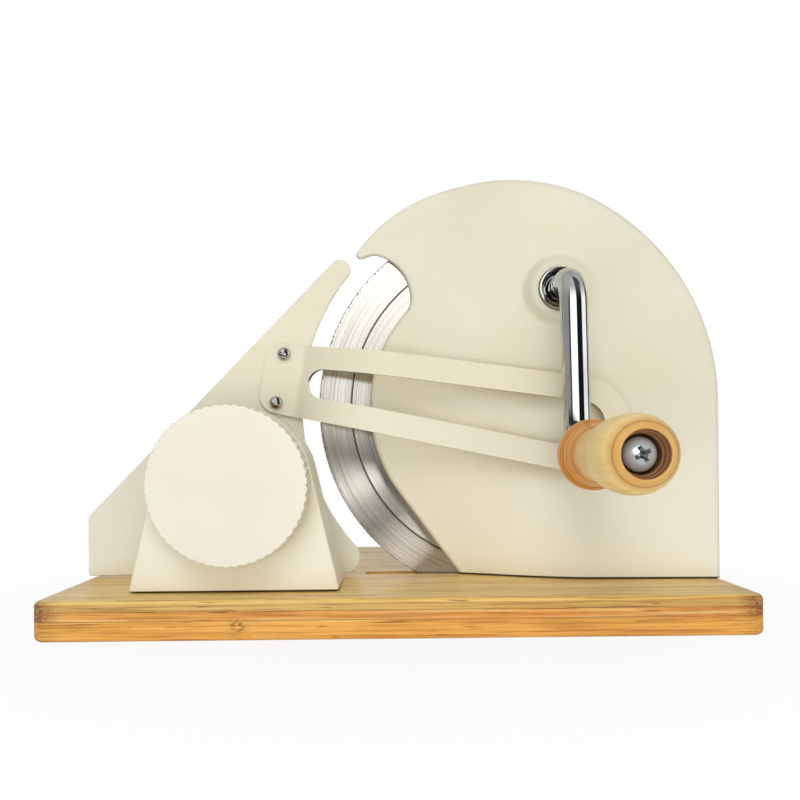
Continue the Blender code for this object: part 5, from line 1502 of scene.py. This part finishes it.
@dataclass
class Crank(Assembly):
    """Bent chromed rod, turned wooden grip and its bolt.

    Attributes:
        rod: Radius of the rod.
        rod_end: Rounding of the rod's ends.
        arm_y: Y of the arm's centre line.
        bend: Radius of the bend's centre line.
        lean: Degrees that the arm leans above its kink.
        kink: Height of the kink above the grip's axis.
        kink_bend: Radius of the kink's centre line.
        tail: Length of the arm below the grip's axis.
        bore: Radius of the hole for the bolt in rod and grip.
        grip_start: Y of the grip's inner end.
        grip_length: Length of the grip.
        flange: Radius of the grip's inner flange.
        waist: Least radius behind the flange.
        bulge: Greatest radius towards the outer end.
        recess: Radius of the recess in the grip's end.
        recess_depth: Depth of that recess.
    """

    rod: float = 0.0060
    rod_end: float = 0.0008
    arm_y: float = -0.0741
    bend: float = 0.0115
    lean: float = 0.9
    kink: float = 0.0128
    kink_bend: float = 0.012
    tail: float = 0.0070
    bore: float = 0.0028
    grip_start: float = -0.0815
    grip_length: float = 0.0700
    flange: float = 0.0150
    waist: float = 0.0111
    bulge: float = 0.0147
    recess: float = 0.0081
    recess_depth: float = 0.0130

    def bent(self, centre: Vector, way: Vector, side: Vector, radius: float, angle: float,
             count: int) -> list[tuple[Vector, Vector, float]]:
        """Return the rod's stations round a bend.

        Args:
            centre: Centre of the bend.
            way: Direction in which the rod comes in.
            side: Direction that it turns to.
            radius: Radius of the bend's centre line.
            angle: Turn in radians.
            count: Number of steps.

        Returns:
            (centre, direction, radius) of each station.
        """
        turns = [angle * i / count for i in range(count + 1)]
        return [(centre + (way * math.sin(a) - side * math.cos(a)) * radius,
                 way * math.cos(a) + side * math.sin(a), self.rod) for a in turns]

    def rod_mesh(self) -> Mesh:
        """Return the rod: shaft, bend, arm and its kinked end.

        Returns:
            The mesh.
        """
        out, lean, end = Vector((0, -1, 0)), math.radians(self.lean), self.rod_end
        down = Vector((math.sin(lean), 0, -math.cos(lean)))
        start = Vector((CRANK_X, at_depth(0.0036), CRANK_Z))
        corner = Vector((CRANK_X, self.arm_y, CRANK_Z))
        grip = Vector((GRIP_X, self.arm_y, GRIP_Z))
        kink = corner + down * ((CRANK_Z - GRIP_Z - self.kink) / math.cos(lean))
        last = (grip - kink).normalized()
        turn = down.angle(last)
        side = (last - down * last.dot(down)).normalized()
        tip = grip + last * self.tail
        rounding = [(end * (1 - math.cos(a)), end * (1 - math.sin(a)))
                    for a in (0, math.pi / 4, math.pi / 2)]
        stations = [(start + out * along, out, self.rod - inward) for along, inward in rounding]
        stations += self.bent(corner - out * self.bend + down * self.bend, out, down, self.bend,
                              math.pi / 2, 24)
        stations += self.bent(kink - down * (self.kink_bend * math.tan(turn / 2))
                              + side * self.kink_bend,
                              down, side, self.kink_bend, turn, 8)
        stations += [(tip - last * along, last, self.rod - inward) for inward, along in rounding]
        return swept("rod", stations, 96)

    def grip_mesh(self) -> Mesh:
        """Return the turned grip with its stepped recess.

        Returns:
            The mesh.
        """
        start, end = self.grip_start, self.grip_start - self.grip_length
        bore, flange, waist, bulge = self.bore, self.flange, self.waist, self.bulge
        drawn_length = 0.0665
        stretch = self.grip_length / drawn_length
        shape = [(flange - 0.0014, 0.0062), (flange - 0.0019, 0.0082), (waist + 0.0008, 0.0122),
                 (waist, 0.0165), (waist + 0.00045, 0.0230), (waist + 0.00125, 0.0320),
                 (bulge - 0.00075, 0.0410), (bulge - 0.0001, 0.0490), (bulge, 0.0530),
                 (bulge - 0.0006, 0.0590), (bulge - 0.0019, 0.0628), (bulge - 0.0036, 0.0652)]
        section = [(bore, start)]
        section += [(flange - inward, start - along) for inward, along in (
            (0.0024, 0.0), (0.0012, 0.0003), (0.0005, 0.0009), (0.0001, 0.0017), (0.0, 0.0022),
            (0.00022, 0.00235), (0.0, 0.0025), (0.0, 0.0037), (0.00022, 0.00385), (0.0, 0.0040),
            (0.0001, 0.0046), (0.0005, 0.0056))]
        section += [(r, start - along * stretch) for r, along in smooth_curve(shape, 6)]
        section += [(self.recess + outward, end + along) for outward, along in (
            (0.0016, 0.0003), (0.0010, 0.0), (0.0006, 0.0001), (0.0003, 0.0005), (0.0002, 0.0026),
            (-0.0003, 0.0030), (-0.0004, 0.0052), (-0.0009, 0.0056),
            (-0.0009, self.recess_depth - 0.0003), (-0.0010, self.recess_depth),
            (bore - self.recess, self.recess_depth))]
        return turned("grip", section, GRIP_X, GRIP_Z, 128)

    def build(self) -> Object:
        """Make rod, grip and bolt, and dress the gear on the shaft.

        Returns:
            The bolt.
        """
        rod = piece_of("crank_rod_chromed", self.rod_mesh(), 60)
        cut(rod, bar(self.bore, self.arm_y - 0.007, self.arm_y + 0.007, GRIP_X, GRIP_Z, 32))
        self.add(rod, self.finishes.chrome, Slot.CHROME, "crank_rod")
        grip = piece_of("wooden_grip", self.grip_mesh(), 40)
        self.add(grip, self.finishes.grip, Slot.GRIP, "handle_grip", body=Body.GRIP)
        floor = self.grip_start - self.grip_length + self.recess_depth - GAP
        seat = floor - 0.0008 - GAP
        bolt = domed_head("grip_bolt", 0.0066, 0.0088, 0.0025, seat, self.arm_y + self.rod - 0.0012,
                          GRIP_X, GRIP_Z, 62)
        self.add(bolt, self.finishes.nickel, Slot.CHROME, "handle_bolt")
        self.dress(self.finishes.zinc, "crank_washer", "handle_washer", "crank_gear_pin")
        self.dress(self.finishes.nylon, "crank_gear")
        return bolt


@dataclass
class Adjuster(Assembly):
    """Pedestal with the scalloped thickness knob and its spindle.

    Attributes:
        arch: Radius of the pedestal's arch.
        slant: Slant of its sides in degrees.
        wall: Thickness of its walls.
        knob_radius: Radius of the knob.
        knob_thickness: Thickness of the knob.
        knob_back: Y of the knob's back.
        scallops: Number of scallops round the knob.
        scallop: Depth of a scallop.
    """

    arch: float = 0.0343
    slant: float = 12.8
    wall: float = 0.003
    knob_radius: float = 0.0340
    knob_thickness: float = 0.0142
    knob_back: float = PEDESTAL_FRONT - 0.001
    scallops: int = 54
    scallop: float = 0.0006

    def outline(self, inset: float, floor: float, corner: float) -> list[Point]:
        """Return the pedestal's outline.

        Args:
            inset: Distance inside the outer face.
            floor: Height of the lower edge.
            corner: Radius of the lower corners.

        Returns:
            The closed outline.
        """
        slant = math.radians(self.slant)
        radius = self.arch - inset
        reach = radius / math.cos(slant) + (KNOB_Z - floor) * math.tan(slant)
        low = rounded([(KNOB_X - reach, floor, corner), (KNOB_X + reach, floor, corner),
                       (KNOB_X, floor + 0.5, 0)], 6)[:-1]
        return low + arc(KNOB_X, KNOB_Z, radius, self.slant, 180 - self.slant, 72)

    def pedestal(self) -> Object:
        """Return the hollow pedestal with its bosses.

        Returns:
            The piece.
        """
        low, back = BOARD_TOP + GAP, PEDESTAL_FRONT + PEDESTAL_DEPTH
        block = prism("pedestal", self.outline(0.0, low, 0.0015), PEDESTAL_FRONT, back)
        body = round_edges(piece_of("cast_pedestal", block), 0.0011, 4, 50)
        inside = PEDESTAL_FRONT + self.wall
        spindle_boss, rod_boss, screw_boss = 0.009, 0.0072, 0.0055
        spindle_hole, rod_hole, screw_hole = 0.0065, 0.0055, 0.0026
        hollow = self.outline(self.wall, low + 0.005, 0.002)
        cut(body, prism("cavity", hollow, inside, back + 0.005))
        cut(body, bar(spindle_boss, inside - 0.001, inside + 0.007, KNOB_X, KNOB_Z, 64),
            *[bar(rod_boss, inside - 0.001, inside + 0.021, x, z) for x, z in GUIDE_RODS],
            *[bar(screw_boss, low + 0.004, low + 0.0115, x, y, 40, Along.Z)
              for x, y in PEDESTAL_SCREWS], operation="UNION")
        return cut(body, bar(spindle_hole, PEDESTAL_FRONT - 0.002, inside + 0.009, KNOB_X, KNOB_Z,
                             64),
                   *[bar(rod_hole, inside + GAP, inside + 0.023, x, z) for x, z in GUIDE_RODS],
                   *[bar(screw_hole, low - 0.001, low + 0.0085, x, y, 24, Along.Z)
                     for x, y in PEDESTAL_SCREWS])

    def knob(self) -> Object:
        """Return the knob with convex lobes round its edge.

        Returns:
            The piece.
        """
        per_lobe = 10
        count = self.scallops * per_lobe
        outline = []
        for i in range(count):
            a = 2 * math.pi * i / count
            notch = abs(math.cos(a * self.scallops / 2)) ** 5
            r = self.knob_radius - self.scallop * notch
            outline.append((KNOB_X + r * math.cos(a), KNOB_Z + r * math.sin(a)))
        back, face = self.knob_back, self.knob_back - self.knob_thickness
        knob = piece_of("thickness_knob_scalloped", prism("knob", outline, face, back))
        round_edges(knob, 0.0007, 3, 60)
        hub, skirt, low, high = 0.0100, self.knob_radius - 0.003, face + 0.0035, back + 0.005
        ring, bore = [(hub, low), (skirt, low), (skirt, high), (hub, high)], 0.0043
        return cut(knob, turned("hollow", ring, KNOB_X, KNOB_Z),
                   bar(bore, face + 0.0045, back + 0.001, KNOB_X, KNOB_Z, 40))

    def spindle(self) -> Object:
        """Return the spindle with its thread and the groove of its circlip.

        Returns:
            The piece.
        """
        start, end = self.knob_back - self.knob_thickness + 0.0048, -0.0415
        thread_from, pitch, crest, root = -0.0612, 0.00125, 0.0040, 0.0036
        profile = [(0.0, start), (0.0035, start), (crest, start + 0.0005), (crest, -0.0630),
                   (0.0034, -0.0630), (0.0034, -0.0616), (crest, -0.0616), (crest, thread_from)]
        for i in range(int((end - 0.001 - thread_from) / pitch)):
            y = thread_from + pitch * i
            profile += [(root, y + pitch * 0.35), (root, y + pitch * 0.55),
                        (crest, y + pitch * 0.9)]
        profile += [(0.0032, end), (0.0, end)]
        return piece_of("threaded_spindle", turned("spindle", profile, KNOB_X, KNOB_Z, 40))

    def build(self) -> None:
        """Make the pedestal, the knob and the spindle, and dress the rest."""
        paint = self.finishes
        self.add(level_faces(self.pedestal()), paint.pedestal, Slot.ENAMEL, "adjuster_pedestal")
        self.add(level_faces(self.knob()), paint.knob, Slot.KNOB, "thickness_knob", body=Body.KNOB)
        self.add(self.spindle(), paint.zinc, Slot.ZINC, "adjuster_spindle", body=Body.KNOB)
        self.dress(paint.zinc, "spindle_circlip")
        self.dress(paint.bronze, "spindle_bush", guide_bush=2)


@dataclass
class Fence(Assembly):
    """Sliding fence plate with the bent slice guide and its screws.

    Attributes:
        clearance: Radius of the edge round the blade.
        left: X of the plate's left edge.
        slope: Slope of the plate's long edge in degrees.
        tip: Radius of the plate's tip.
        foot: Radius of its lower right corner.
        tilt: Slope of the guide in degrees.
        sheet: Thickness of the guide.
        hub: Middle of the guide's tab.
        bend_start: Distance from there to the crease that lifts the guide off the plate.
        bend_run: Length of the crease.
        bend_angle: Angle in degrees at which the guide leaves the plate.
        bend_radius: Radius of the curve that brings it back.
        flare: Angle in degrees at which its end still leads away.
    """

    clearance: float = 0.103
    left: float = -0.152
    slope: float = 45.57
    tip: float = 0.005
    foot: float = 0.0080
    tilt: float = 10.0
    sheet: float = 0.0015
    hub: Point = (-0.0563, 0.1142)
    bend_start: float = 0.0100
    bend_run: float = 0.0020
    bend_angle: float = 40.0
    bend_radius: float = 0.082
    flare: float = 2.0

    def beside_blade(self, radius: float, z: float) -> tuple[float, float]:
        """Return the X of a corner's arc beside the blade, and its angle in degrees from there."""
        x = BLADE_X - math.sqrt((self.clearance + radius) ** 2 - (z - BLADE_Z) ** 2)
        return x, math.degrees(math.atan2(z - BLADE_Z, x - BLADE_X))

    def plate_outline(self) -> list[Point]:
        """Return the plate's outline, counterclockwise from the lower left corner.

        Returns:
            The closed outline.
        """
        low, left, slope = BOARD_TOP + 0.001, self.left, math.radians(self.slope)
        tip_z, foot_z = BOARD_TOP + 0.1557 - self.tip, low + self.foot
        tip_x, tip_a = self.beside_blade(self.tip, tip_z)
        foot_x, foot_a = self.beside_blade(self.foot, foot_z)
        foot_a += 360
        start = (tip_x - self.tip * math.sin(slope), tip_z + self.tip * math.cos(slope))
        knee = max(start[1] - (start[0] - left) * math.tan(slope), low + 0.029)
        side = rounded([(left, low, 0.001), (0.0, low, 0), (*start, 0), (left, knee, 0.005)])
        corner, shoulder = side[:9], side[11:]
        points = shoulder + corner
        points += arc(foot_x, foot_z, self.foot, -90, foot_a - 180, 10)
        points += arc(BLADE_X, BLADE_Z, self.clearance, foot_a, tip_a, 72)[1:-1]
        return points + arc(tip_x, tip_z, self.tip, tip_a - 180, 90 + self.slope, 14)

    def guide_depth(self, u: float) -> float:
        """Return the depth of the guide's middle surface along its length.

        Args:
            u: Distance from the middle of the guide's tab.

        Returns:
            The depth.
        """
        first, last = math.radians(self.bend_angle), math.radians(self.flare)
        depth = BLADE_Y - FENCE_FRONT + GAP + self.sheet / 2
        if u <= self.bend_start - 0.001:
            return depth
        crease = min(max((u - self.bend_start + 0.001) / (self.bend_run + 0.002), 0.0), 1.0)
        rise = self.bend_run * math.tan(first)
        run = u - self.bend_start - self.bend_run
        if run <= 0.001 and crease < 1.0:
            return depth + (rise + 0.001 * math.tan(first)) * crease ** 1.7
        length = self.bend_radius * (math.sin(first) - math.sin(last))
        sine = math.sin(first) - min(run, length) / self.bend_radius
        lift = self.bend_radius * (math.sqrt(1 - sine ** 2) - math.cos(first))
        return depth + rise + lift + max(0.0, run - length) * math.tan(last)

    def guide_spot(self, u: float, v: float) -> Point:
        """Return the world X and Z of a point of the guide's own plane.

        Args:
            u: Distance along the guide from the middle of its tab.
            v: Distance across it.

        Returns:
            The X and the Z.
        """
        tilt = math.radians(self.tilt)
        return (self.hub[0] + u * math.cos(tilt) + v * math.sin(tilt),
                self.hub[1] - u * math.sin(tilt) + v * math.cos(tilt))

    def guide(self) -> Object:
        """Return the bent sheet with its tapering slot.

        Returns:
            The piece.
        """
        reach, end_r, slot_r, slot_end, slot_at = 0.144, 0.0223, 0.0070, 0.0110, 0.0215
        half, corner, tab = 0.0172, 0.0090, 0.0087
        taper = math.degrees(math.asin((end_r - half) / reach))
        slot_taper = math.degrees(math.asin((slot_end - slot_r) / (reach - slot_at)))
        outer = arc(corner - tab, corner - half, corner, 180, 270 - taper, 14)
        outer += arc(reach, 0, end_r, -90 - taper, 90 + taper, 56)
        outer += arc(corner - tab, half - corner, corner, 90 + taper, 180, 14)
        hole = arc(slot_at, 0, slot_r, 90 + slot_taper, 270 - slot_taper, 32)
        hole += arc(reach, 0, slot_end, -90 - slot_taper, 90 + slot_taper, 40)
        bm = bmesh.new()
        for outline in (outer, hole):
            verts = [bm.verts.new((u, 0, v)) for u, v in outline]
            for a, b in zip(verts, verts[1:] + verts[:1]):
                bm.edges.new((a, b))
        bmesh.ops.triangle_fill(bm, edges=bm.edges[:], use_beauty=True)
        for i in range(1, 130):
            bmesh.ops.bisect_plane(bm, geom=bm.verts[:] + bm.edges[:] + bm.faces[:], dist=1e-5,
                                   plane_co=(-tab + 0.00055 * i, 0, 0), plane_no=(1, 0, 0))
        for vert in bm.verts:
            u = vert.co.x
            x, z = self.guide_spot(u, vert.co.z)
            vert.co = (x, at_depth(self.guide_depth(u)), z)
        bmesh.ops.recalc_face_normals(bm, faces=bm.faces)
        guide = placed("slice_guide_sheet", mesh_of("guide", bm))
        wall = guide.modifiers.new("wall", "SOLIDIFY")
        wall.thickness, wall.offset, wall.use_even_offset = self.sheet, 0.0, True
        return round_edges(bake(guide), 0.00035, 2, 60)

    def build(self) -> None:
        """Make the plate, the guide and its screws, and dress the rods and the nut."""
        sheet = prism("fence", self.plate_outline(), FENCE_FRONT, FENCE_BACK)
        plate = round_edges(piece_of("fence_plate_sheet", sheet), 0.0004, 2, 60)
        guide = self.guide()
        places = [self.guide_spot(0.0, across) for across in (0.0121, -0.0121)]
        rod_hole, screw_hole = 0.0028, 0.0023
        front, back = FENCE_FRONT - 0.001, FENCE_BACK + 0.001
        cut(plate, *[bar(rod_hole, front, back, x, z, 32) for x, z in GUIDE_RODS],
            *[bar(screw_hole, front, back, x, z, 24) for x, z in places])
        cut(guide, *[bar(screw_hole, FENCE_FRONT - 0.004, FENCE_FRONT + 0.001, x, z, 24)
                     for x, z in places])
        self.add(level_faces(plate, 30), self.finishes.fence, Slot.ENAMEL, "fence_plate")
        self.add(level_faces(guide, 30), self.finishes.guide, Slot.ENAMEL, "slice_guide")
        seat = FENCE_FRONT - GAP - self.sheet - GAP
        for number, ((x, z), turn) in enumerate(zip(places, (25, 70)), 1):
            head = domed_head(f"guide_screw_{number}", 0.0033, 0.0026, 0.0020, seat,
                              FENCE_BACK - 0.0001, x, z, turn)
            self.add(head, self.finishes.chrome, Slot.CHROME, f"slice_guide_screw_{number}")
        self.dress(self.finishes.steel, guide_rod=2)
        self.dress(self.finishes.bronze, "spindle_nut")


@dataclass
class Studio:
    """Pale floor, soft lamps, surroundings and the camera.

    Attributes:
        blade: The disc that the bright strips light.
        bolt: The bolt in the grip's end, which has a glint of its own.
        camera: Place of the camera.
        roll: Roll of the camera in degrees.
        ambient: Strength of the plain light from all round.
        lens: Focal length in millimetres on a 36 mm sensor.
        shift: Shift of the frame.
    """

    blade: Object
    bolt: Object
    camera: Place = (-0.0037, -0.4085, 0.0752)
    roll: float = -0.6
    ambient: float = 0.32
    lens: float = 34.65
    shift: Point = (0.015, 0.071)

    @staticmethod
    def floor() -> None:
        """Make the floor: white to the camera, shaded under the board, dim in reflections."""
        mesh = bpy.data.meshes.new("floor")
        size = 4.0
        corners = [(-size, -size, 0), (size, -size, 0), (size, size, 0), (-size, size, 0)]
        mesh.from_pydata(corners, [], [(0, 1, 2, 3)])
        floor = placed("studio_floor", mesh)
        g = Graph("studio_floor_paint")
        rays = g.add("LightPath").outputs
        before = g.span(g.split(g.coords["Object"])[1], -0.35, -0.10, 1.0, 0.0)
        dim = g.times(rays["Is Glossy Ray"], before)
        g.set(Base_Color=g.mix(dim, (0.93, 0.93, 0.93), (0.11, 0.10, 0.075)), Roughness=0.9,
              Specular_IOR_Level=0.1)
        away = g.add("VectorMath", {0: g.coords["Object"]}, operation="LENGTH").outputs["Value"]
        seen = g.times(rays["Is Camera Ray"], g.span(away, 0.10, 0.30, 0.86, 1.0))
        glow = g.add("Emission", {"Color": (1, 1, 1), "Strength": 1.0})
        mixed = g.add("MixShader", {0: seen, 1: g.shader.outputs[0], 2: glow.outputs[0]})
        g.put(g.tree.nodes["Material Output"].inputs[0], mixed.outputs[0])
        mesh.materials.append(g.material)

    @staticmethod
    def area(name: str, at: Matrix, size: Point, power: float, glossy: bool,
             only: Object | None = None) -> None:
        """Add a rectangular lamp that the camera doesn't see.

        Args:
            name: Name of the lamp.
            at: Where it stands and how it is turned.
            size: Sides of its rectangle.
            power: Power in watts.
            glossy: True for a lamp that shows only as a reflection, or else it shows in none.
            only: The one piece that it lights, or None for all.
        """
        light = bpy.data.lights.new(name, "AREA")
        light.shape, light.energy = "RECTANGLE", power
        light.size, light.size_y = size
        made = placed(name, light)
        made.matrix_world = at
        made.visible_camera, made.visible_glossy, made.visible_diffuse = False, glossy, not glossy
        if only:
            lit = bpy.data.collections.new(name + "_lights_only")
            lit.objects.link(only)
            made.light_linking.receiver_collection = lit

    def lamp(self, name: str, place: Place, aim: Place, size: Point, power: float,
             only: Object | None = None) -> None:
        """Add a lamp that faces a point.

        Args:
            name: Name of the lamp.
            place: Where it hangs.
            aim: Point that it faces.
            size: Sides of its rectangle; the first lies level.
            power: Power in watts.
            only: The one piece that reflects it, or None for a lamp that lights all.
        """
        way = (Vector(aim) - Vector(place)).to_track_quat("-Z", "Y").to_matrix().to_4x4()
        self.area(name, Matrix.Translation(place) @ way, size, power, only is not None, only)

    def sparkle(self, name: str, angle: float, near: float, far: float, width: float,
                power: float) -> None:
        """Add a strip that the blade's round brushing turns into one bright radial band.

        Args:
            name: Name of the lamp.
            angle: Slope of the band across the blade, in degrees.
            near: Start of the strip, in degrees off the blade's own axis.
            far: End of the strip, in degrees off that axis.
            width: Width of the strip in metres.
            power: Power in watts.
        """
        slope, distance = math.radians(angle), 1.2
        across = Vector((math.cos(slope), 0, math.sin(slope)))
        ends = [distance * (across * math.sin(a) + Vector((0, -math.cos(a), 0)))
                for a in (math.radians(near), math.radians(far))]
        middle, along = (ends[0] + ends[1]) / 2, ends[1] - ends[0]
        centre = Vector((0.02, BLADE_Y, 0.08))
        facing, upright = middle.normalized(), along.normalized()
        way = Matrix((upright, facing.cross(upright), facing)).transposed().to_4x4()
        at = Matrix.Translation(centre + middle) @ way
        self.area(name, at, (along.length, width), power, True, self.blade)

    def surroundings(self) -> None:
        """Make the world: white to the camera, plain for light, banded in reflections."""
        world = bpy.data.worlds.new("studio")
        bpy.context.scene.world = world
        world.use_nodes = True
        world.node_tree.nodes.clear()
        g = Nodes(world.node_tree)
        path = g.add("LightPath").outputs
        x, y, rise = g.split(g.add("TexCoord").outputs["Generated"])
        share = g.span(g.math("ARCTAN2", x, g.times(y, -1.0)), -math.pi, math.pi)

        def ring(*stops: tuple[float, float]) -> NodeSocket:
            """Return greys by the compass, from (degrees off -Y towards +X, grey) stops."""
            return g.ramp(share, *[((degrees + 180) / 360, (grey,) * 3) for degrees, grey in stops])

        level = ring((-180, 0.95), (-150, 0.95), (-140, 0.46), (-60, 0.42), (-51, 0.04),
                     (-45, 0.04), (-41, 2.0), (7, 2.0), (10, 0.015), (52, 0.015), (56, 1.5),
                     (94, 1.5), (99, 0.04), (150, 0.06), (158, 0.95), (180, 0.95))
        upper = ring((-180, 0.50), (-90, 0.65), (0, 0.75), (14, 0.10), (70, 0.10), (95, 0.7),
                     (180, 0.50))
        lower = ring((-180, 0.8), (-110, 0.7), (-70, 0.03), (60, 0.03), (110, 0.7), (180, 0.8))
        banded = g.mix(g.span(rise, 0.30, 0.80), level, upper)
        banded = g.mix(g.span(rise, 0.037, 0.020), banded, lower)
        plain, glossy, shown = (
            g.add("Background", {0: colour, 1: strength}).outputs[0]
            for colour, strength in (((1, 1, 1), self.ambient), (banded, 1.0), ((1, 1, 1), 1.0)))
        inner = g.add("MixShader", {0: path["Is Glossy Ray"], 1: plain, 2: glossy})
        outer = g.add("MixShader", {0: path["Is Camera Ray"], 1: inner.outputs[0], 2: shown})
        g.add("OutputWorld", {0: outer.outputs[0]})

    def build(self) -> None:
        """Set up the floor, lamps, surroundings and camera."""
        self.floor()
        self.surroundings()
        aim = (0.02, -0.03, 0.09)
        self.lamp("key", (-0.10, -1.00, 0.88), aim, (0.65, 0.65), 4.5)
        self.lamp("front", (0.10, -1.75, 0.20), aim, (1.6, 0.8), 7.1)
        self.lamp("low", (0.04, -0.40, 0.02), (0.03, -0.05, 0.05), (0.60, 0.04), 0.28)
        self.lamp("top", (0.0, 0.30, 1.3), (0.0, 0.0, 0.1), (0.9, 0.9), 1.7)
        self.sparkle("band_middle", 25.0, 38.0, 60.0, 0.022, 9.5)
        self.sparkle("band_low", 43.0, 34.0, 46.0, 0.016, 3.6)
        self.sparkle("sheen_top", 104.0, 14.0, 46.0, 0.36, 1.35)
        self.lamp("glint", (-0.35, -1.0, 0.50), (GRIP_X, -0.14, GRIP_Z), (0.70, 0.45), 7.0,
                  self.bolt)
        lens = bpy.data.cameras.new("view")
        lens.sensor_width, lens.lens, lens.clip_start = 36.0, self.lens, 0.01
        lens.shift_x, lens.shift_y = self.shift
        view = placed("view", lens)
        view.matrix_world = (Matrix.Translation(self.camera) @ Matrix.Rotation(math.pi / 2, 4, "X")
                             @ Matrix.Rotation(math.radians(self.roll), 4, "Z"))
        bpy.context.scene.camera = view
        bpy.context.scene.view_settings.view_transform = "Standard"


def main() -> None:
    """Build the slicer's looks and the studio."""
    logging.basicConfig(level=logging.INFO, format="%(message)s")
    finishes = Finishes()
    Board(finishes, Body.BASE).build()
    Housing(finishes, Body.BASE).build()
    disc = Blade(finishes, Body.BLADE).build()
    bolt = Crank(finishes, Body.CRANK).build()
    Adjuster(finishes, Body.BASE).build()
    Fence(finishes, Body.FENCE).build()
    Studio(disc, bolt).build()


if __name__ == "__main__":
    main()
